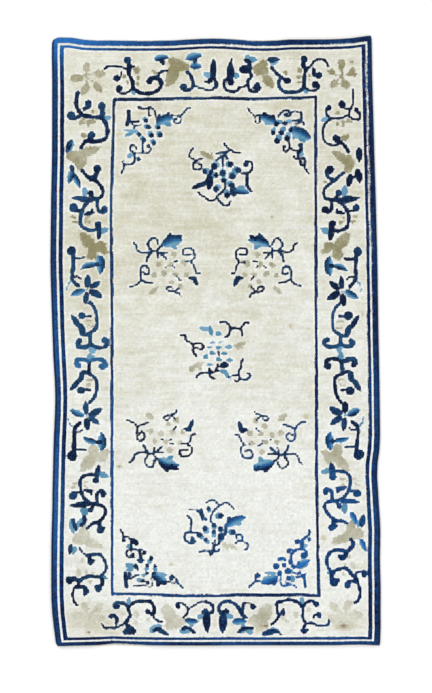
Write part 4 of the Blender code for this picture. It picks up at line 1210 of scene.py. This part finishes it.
sideCords = [makeSideCord("leftSideCord", -1), makeSideCord("rightSideCord", 1)]
print("side cords:", [len(piece.data.polygons) for piece in sideCords])


def linear(code):
    # sRGB hex to the linear colour that the shader takes
    parts = [int(code[k:k + 2], 16) / 255 for k in (1, 3, 5)]
    return (*[c / 12.92 if c <= 0.04045 else ((c + 0.055) / 1.055) ** 2.4 for c in parts], 1.0)


def addNode(tree, kind, inputs, **settings):
    # one node with its settings and links
    node = tree.nodes.new("ShaderNode" + kind)
    for name, value in settings.items():
        setattr(node, name, value)
    for name, value in inputs.items():
        if isinstance(value, bpy.types.NodeSocket):
            tree.links.new(value, node.inputs[name])
        else:
            node.inputs[name].default_value = value
    return node


def newMaterial(name, roughness, sheen=0.0):
    material = bpy.data.materials.new(name)
    material.use_nodes = True
    shader = material.node_tree.nodes["Principled BSDF"]
    shader.inputs["Roughness"].default_value = roughness
    shader.inputs["IOR"].default_value = 1.5
    shader.inputs["Specular IOR Level"].default_value = 0.06
    shader.inputs["Sheen Weight"].default_value = sheen
    shader.inputs["Sheen Roughness"].default_value = 0.6
    return material, material.node_tree, shader


yarns = {
    "ivory": "#e7e9e4",        # undyed wool, washed
    "ivoryOld": "#c9c6b0",     # the same wool where it has yellowed
    "ivoryBright": "#f8faf8",  # clipped clean beside the figures
    "stain": "#7d6146",        # old spots
    "camel": "#8a8462",
    "camelPale": "#dadacd",
    "navy": "#091836",
    "navyPale": "#3979ae",
    "royal": "#05153e",        # the stripes' indigo, dyed deeper than the figures'
    "royalPale": "#2c76c4",
    "sky": "#79a3c0",
    "teal": "#3d7c99",
    "cotton": "#e3dfd0",
    "cord": "#2c5288",         # the paler lengths of the overcasting yarn
    "cordGap": "#0b1830",      # the shadow between its turns
}

# Real sizes of what the shader draws, mm
grain = {
    "fibre": 1.1,
    "fuzz": 2.0,
    "tuft": 4.0,
    "row": 4.493,
    "paper": 6.0,
    "streak": 7.0,
    "mottle": 38.0,
    "cordDye": 45.0,
}


def frequency(millimetres):
    # a noise scale in Object coordinates that gives lumps of this size
    return 1.0 / (millimetres * millimetre)


def yarnColour(tree):
    # ivory ground, then camel, sky and navy figures, each from its own depth on the mesh
    place = addNode(tree, "TexCoord", {}).outputs["Object"]
    names = ("navyDepth", "skyDepth", "camelDepth", "blue", "teal", "royal", "tan", "age", "shade", "worn")
    trait = {name: addNode(tree, "Attribute", {}, attribute_name=name).outputs["Fac"] for name in names}
    fuzz = addNode(tree, "TexNoise", {"Vector": place, "Scale": frequency(grain["fuzz"]), "Detail": 2.0})
    mottle = addNode(tree, "TexNoise", {"Vector": place, "Scale": frequency(grain["mottle"]), "Detail": 4.0,
                                        "Roughness": 0.6})
    stretched = addNode(tree, "Mapping", {"Vector": place, "Scale": (0.12, 1.0, 1.0)})
    streak = addNode(tree, "TexNoise", {"Vector": stretched.outputs[0], "Scale": frequency(grain["streak"]),
                                        "Detail": 3.0})
    tufts = addNode(tree, "TexNoise", {"Vector": place, "Scale": frequency(grain["tuft"]), "Detail": 2.0})
    # yellowing gathers where the marks are, and in streaks along the rows
    oldWool = addNode(tree, "Math", {0: mottle.outputs["Fac"], 1: streak.outputs["Fac"]}, operation="ADD")
    oldWool = addNode(tree, "Math", {0: oldWool.outputs[0], 1: tufts.outputs["Fac"]}, operation="ADD")
    oldWool = addNode(tree, "MapRange", {"Value": oldWool.outputs[0], "From Min": 1.2, "From Max": 1.8,
                                         "To Min": -0.34, "To Max": 0.34}, clamp=False)
    oldWool = addNode(tree, "Math", {0: trait["age"], 1: oldWool.outputs["Result"]}, operation="ADD")
    wool = addNode(tree, "Mix", {0: oldWool.outputs[0], 6: linear(yarns["ivory"]),
                                 7: linear(yarns["ivoryOld"])}, data_type="RGBA")
    beside = addNode(tree, "Math", {0: trait["navyDepth"], 1: trait["skyDepth"]}, operation="MAXIMUM")
    bright = addNode(tree, "MapRange", {"Value": beside.outputs[0], "From Min": -5.0, "From Max": -1.5,
                                        "To Min": 0.0, "To Max": 0.4}, interpolation_type="SMOOTHSTEP")
    colour = addNode(tree, "Mix", {0: bright.outputs["Result"], 6: wool.outputs[2],
                                   7: linear(yarns["ivoryBright"])}, data_type="RGBA").outputs[2]
    camelDye = addNode(tree, "MapRange", {"Value": tufts.outputs["Fac"], "From Min": 0.3, "From Max": 0.7,
                                          "To Min": -0.18, "To Max": 0.18}, clamp=False)
    camelDye = addNode(tree, "Math", {0: trait["tan"], 1: camelDye.outputs["Result"]}, operation="ADD")
    camelYarn = addNode(tree, "Mix", {0: camelDye.outputs[0], 6: linear(yarns["camelPale"]),
                                      7: linear(yarns["camel"])}, data_type="RGBA")
    skyYarn = addNode(tree, "Mix", {0: trait["teal"], 6: linear(yarns["sky"]), 7: linear(yarns["teal"])},
                      data_type="RGBA")
    dye = addNode(tree, "MapRange", {"Value": tufts.outputs["Fac"], "From Min": 0.3, "From Max": 0.7,
                                     "To Min": -0.22, "To Max": 0.04}, clamp=False)
    dye = addNode(tree, "Math", {0: trait["blue"], 1: dye.outputs["Result"]}, operation="ADD")
    navyYarn = addNode(tree, "Mix", {0: dye.outputs[0], 6: linear(yarns["navy"]),
                                     7: linear(yarns["navyPale"])}, data_type="RGBA")
    royalYarn = addNode(tree, "Mix", {0: dye.outputs[0], 6: linear(yarns["royal"]),
                                      7: linear(yarns["royalPale"])}, data_type="RGBA")
    navyYarn = addNode(tree, "Mix", {0: trait["royal"], 6: navyYarn.outputs[2], 7: royalYarn.outputs[2]},
                       data_type="RGBA")
    for depth, yarn, ragged in (("camelDepth", camelYarn, 1.6), ("skyDepth", skyYarn, 1.2),
                                ("navyDepth", navyYarn, 0.9)):
        edge = addNode(tree, "MapRange", {"Value": fuzz.outputs["Fac"], "From Min": 0.2, "From Max": 0.8,
                                          "To Min": -ragged, "To Max": ragged}, clamp=False)
        edge = addNode(tree, "Math", {0: trait[depth], 1: edge.outputs["Result"]}, operation="ADD")
        share = addNode(tree, "MapRange", {"Value": edge.outputs[0], "From Min": -0.7, "From Max": 0.7},
                        interpolation_type="SMOOTHSTEP")
        colour = addNode(tree, "Mix", {0: share.outputs["Result"], 6: colour, 7: yarn.outputs[2]},
                         data_type="RGBA").outputs[2]
    stain = addNode(tree, "MapRange", {"Value": trait["age"], "From Min": 1.35, "From Max": 2.0,
                                       "To Min": 0.0, "To Max": 0.85})
    colour = addNode(tree, "Mix", {0: stain.outputs["Result"], 6: colour, 7: linear(yarns["stain"])},
                     data_type="RGBA").outputs[2]
    knotShade = addNode(tree, "MapRange", {"Value": trait["shade"], "From Min": -2.0, "From Max": 2.0,
                                           "To Min": 0.9, "To Max": 1.08})
    colour = addNode(tree, "Mix", {0: 1.0, 6: colour, 7: knotShade.outputs["Result"]}, data_type="RGBA",
                     blend_type="MULTIPLY").outputs[2]
    bare = addNode(tree, "Math", {0: trait["worn"], 1: fuzz.outputs["Fac"]}, operation="MULTIPLY")
    bare = addNode(tree, "MapRange", {"Value": bare.outputs[0], "From Min": 0.3, "From Max": 0.5})
    colour = addNode(tree, "Mix", {0: bare.outputs["Result"], 6: colour, 7: linear(yarns["cotton"])},
                     data_type="RGBA").outputs[2]
    return place, colour, tufts


def rowLines(tree, place, share):
    # thin shadows between the rows of knots, as the weft draws them in
    along = addNode(tree, "SeparateXYZ", {"Vector": place}).outputs["Y"]
    wave = addNode(tree, "Math", {0: along, 1: 2 * pi * frequency(grain["row"])}, operation="MULTIPLY")
    wave = addNode(tree, "Math", {0: wave.outputs[0]}, operation="SINE")
    return addNode(tree, "MapRange", {"Value": wave.outputs[0], "From Min": -1.0, "From Max": 0.6,
                                      "To Min": 1.0 - share, "To Max": 1.0})


def woolPile():
    # Hand-spun wool knotted on cotton and clipped with shears: matt, a little downy, the tufts' ends show
    material, tree, shader = newMaterial("clippedWoolPile", 0.95, sheen=0.04)
    place, colour, tufts = yarnColour(tree)
    fibre = addNode(tree, "TexNoise", {"Vector": place, "Scale": frequency(grain["fibre"]), "Detail": 3.0})
    shade = rowLines(tree, place, 0.05)
    relief = addNode(tree, "Math", {0: fibre.outputs["Fac"], 1: tufts.outputs["Fac"]}, operation="ADD")
    # painted shade in the low tufts and painted light on the high tufts: the colour follows the same relief
    # that makes the bump
    depth = addNode(tree, "MapRange", {"Value": relief.outputs[0], "From Min": 0.6, "From Max": 1.4,
                                       "To Min": 0.85, "To Max": 1.13})
    shade = addNode(tree, "Math", {0: shade.outputs["Result"], 1: depth.outputs["Result"]},
                    operation="MULTIPLY")
    colour = addNode(tree, "Mix", {0: 1.0, 6: colour, 7: shade.outputs[0]}, data_type="RGBA",
                     blend_type="MULTIPLY").outputs[2]
    bump = addNode(tree, "Bump", {"Height": relief.outputs[0], "Strength": 0.6, "Distance": 0.0006})
    tree.links.new(colour, shader.inputs["Base Color"])
    tree.links.new(bump.outputs["Normal"], shader.inputs["Normal"])
    return material


def cottonAndKnotBacks():
    # Cotton warps and wefts in plain weave. Below, each knot shows as two small beads between white wefts.
    material, tree, shader = newMaterial("plainWovenCottonWithKnotBacks", 0.9, sheen=0.1)
    place, colour = yarnColour(tree)[:2]
    axes = addNode(tree, "SeparateXYZ", {"Vector": place})
    beads = []
    for axis, pitch in (("X", grain["row"] / 2), ("Y", grain["row"])):
        wave = addNode(tree, "Math", {0: axes.outputs[axis], 1: 2 * pi * frequency(pitch)},
                       operation="MULTIPLY")
        wave = addNode(tree, "Math", {0: wave.outputs[0]}, operation="SINE")
        beads.append(addNode(tree, "MapRange", {"Value": wave.outputs[0], "From Min": -1.0,
                                                "From Max": 1.0}).outputs["Result"])
    bead = addNode(tree, "Math", {0: beads[0], 1: beads[1]}, operation="MULTIPLY")
    weft = addNode(tree, "MapRange", {"Value": beads[1], "From Min": 0.1, "From Max": 0.3, "To Min": 0.75,
                                      "To Max": 0.0})
    back = addNode(tree, "Mix", {0: weft.outputs["Result"], 6: colour, 7: linear(yarns["cotton"])},
                   data_type="RGBA")
    aboveBack = addNode(tree, "MapRange", {"Value": axes.outputs["Z"], "From Min": 0.0004,
                                           "From Max": 0.0007})
    # painted shade between the beads of the knots' backs, from the same waves that make the bump
    shade = addNode(tree, "MapRange", {"Value": bead.outputs[0], "To Min": 0.82, "To Max": 1.04})
    mixed = addNode(tree, "Mix", {0: aboveBack.outputs["Result"], 6: back.outputs[2],
                                  7: linear(yarns["cotton"])}, data_type="RGBA")
    mixed = addNode(tree, "Mix", {0: 1.0, 6: mixed.outputs[2], 7: shade.outputs["Result"]},
                    data_type="RGBA", blend_type="MULTIPLY")
    bump = addNode(tree, "Bump", {"Height": bead.outputs[0], "Strength": 0.8, "Distance": 0.0006})
    tree.links.new(mixed.outputs[2], shader.inputs["Base Color"])
    tree.links.new(bump.outputs["Normal"], shader.inputs["Normal"])
    return material


def overcastWool():
    # Navy wool wound round the outer warps: slanting turns with painted shadow in the dark gaps between them
    material, tree, shader = newMaterial("overcastNavyWool", 0.92, sheen=0.04)
    place = addNode(tree, "TexCoord", {}).outputs["Object"]
    turn = addNode(tree, "Attribute", {}, attribute_name="turn").outputs["Fac"]
    axes = addNode(tree, "SeparateXYZ", {"Vector": place})
    along = addNode(tree, "Math", {0: axes.outputs["Y"], 1: frequency(sideCord["wrap"])},
                    operation="MULTIPLY")
    phase = addNode(tree, "Math", {0: along.outputs[0], 1: turn}, operation="ADD")
    phase = addNode(tree, "Math", {0: phase.outputs[0], 1: 2 * pi}, operation="MULTIPLY")
    wave = addNode(tree, "Math", {0: phase.outputs[0]}, operation="COSINE")
    # painted shadow: the colour darkens to the gap colour along the same helical wave that makes the bump
    lit = addNode(tree, "MapRange", {"Value": wave.outputs[0], "From Min": -1.0, "From Max": 0.4})
    dye = addNode(tree, "TexNoise", {"Vector": place, "Scale": frequency(grain["cordDye"]), "Detail": 4.0})
    yarn = addNode(tree, "Mix", {0: dye.outputs["Fac"], 6: linear(yarns["navy"]), 7: linear(yarns["cord"])},
                   data_type="RGBA")
    colour = addNode(tree, "Mix", {0: lit.outputs["Result"], 6: linear(yarns["cordGap"]),
                                   7: yarn.outputs[2]}, data_type="RGBA")
    bump = addNode(tree, "Bump", {"Height": wave.outputs[0], "Strength": 0.5, "Distance": 0.0005})
    tree.links.new(colour.outputs[2], shader.inputs["Base Color"])
    tree.links.new(bump.outputs["Normal"], shader.inputs["Normal"])
    return material


pileWool, cottonBack, cordWool = woolPile(), cottonAndKnotBacks(), overcastWool()
for piece, material in [*((block, pileWool) for block in pileBlocks), (cottonGround, cottonBack),
                        *((cord, cordWool) for cord in sideCords)]:
    piece.data.materials.append(material)
    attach(piece, "root")
    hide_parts("rug")


studio = {
    "floor": 9.0,             # side of the paper floor, m
    "floorDrop": 0.0002,      # it lies this much under the rug's back, m
    "floorColour": "#fbfbfa",
    "floorFibre": "#f8f8f7",
    "sky": 0.66,              # strength of the even light all around
    "viewTall": 1.4553,       # what the picture spans up the rug, m
    "aim": (0.00095, -0.0117),
    "lens": 200.0,
    "sensor": 36.0,
    "rugTop": 0.0105,         # height of the rug's top, which the camera's distance is measured from, m
}

lamps = (
    {"name": "keyLamp", "place": (-1.5, 1.9, 2.8), "size": 2.2, "watts": 58},
    {"name": "fillLamp", "place": (1.7, -1.6, 2.6), "size": 2.6, "watts": 36},
)


def makeStudio():
    # seamless white paper, two broad soft lamps and a long lens straight above
    bpy.ops.mesh.primitive_plane_add(size=studio["floor"], location=(0, 0, -studio["floorDrop"]))
    floor = bpy.context.active_object
    floor.name = "studioPaper"
    material, tree, shader = newMaterial("mattWhitePaper", 0.9)
    place = addNode(tree, "TexCoord", {}).outputs["Object"]
    fibres = addNode(tree, "TexNoise", {"Vector": place, "Scale": frequency(grain["paper"]), "Detail": 3.0})
    paper = addNode(tree, "Mix", {0: fibres.outputs["Fac"], 6: linear(studio["floorFibre"]),
                                  7: linear(studio["floorColour"])}, data_type="RGBA")
    tree.links.new(paper.outputs[2], shader.inputs["Base Color"])
    floor.data.materials.append(material)
    for kind in lamps:
        bpy.ops.object.light_add(type="AREA", location=kind["place"])
        lamp = bpy.context.active_object
        lamp.name = kind["name"]
        lamp.data.size = kind["size"]
        lamp.data.energy = kind["watts"]
        lamp.rotation_euler = (-Vector(kind["place"])).to_track_quat("-Z", "Y").to_euler()
    world = bpy.data.worlds.new("softStudio")
    bpy.context.scene.world = world
    world.use_nodes = True
    background = world.node_tree.nodes["Background"]
    background.inputs["Color"].default_value = linear("#ffffff")
    background.inputs["Strength"].default_value = studio["sky"]
    bpy.ops.object.camera_add()
    camera = bpy.context.active_object
    camera.name = "viewAbove"
    camera.data.lens = studio["lens"]
    camera.data.sensor_width = studio["sensor"]
    away = studio["viewTall"] * studio["lens"] / studio["sensor"]
    camera.location = (*studio["aim"], studio["rugTop"] + away)
    camera.rotation_euler = (0, 0, 0)
    bpy.context.scene.camera = camera
    bpy.context.scene.view_settings.view_transform = "Standard"


makeStudio()
print("studio set")
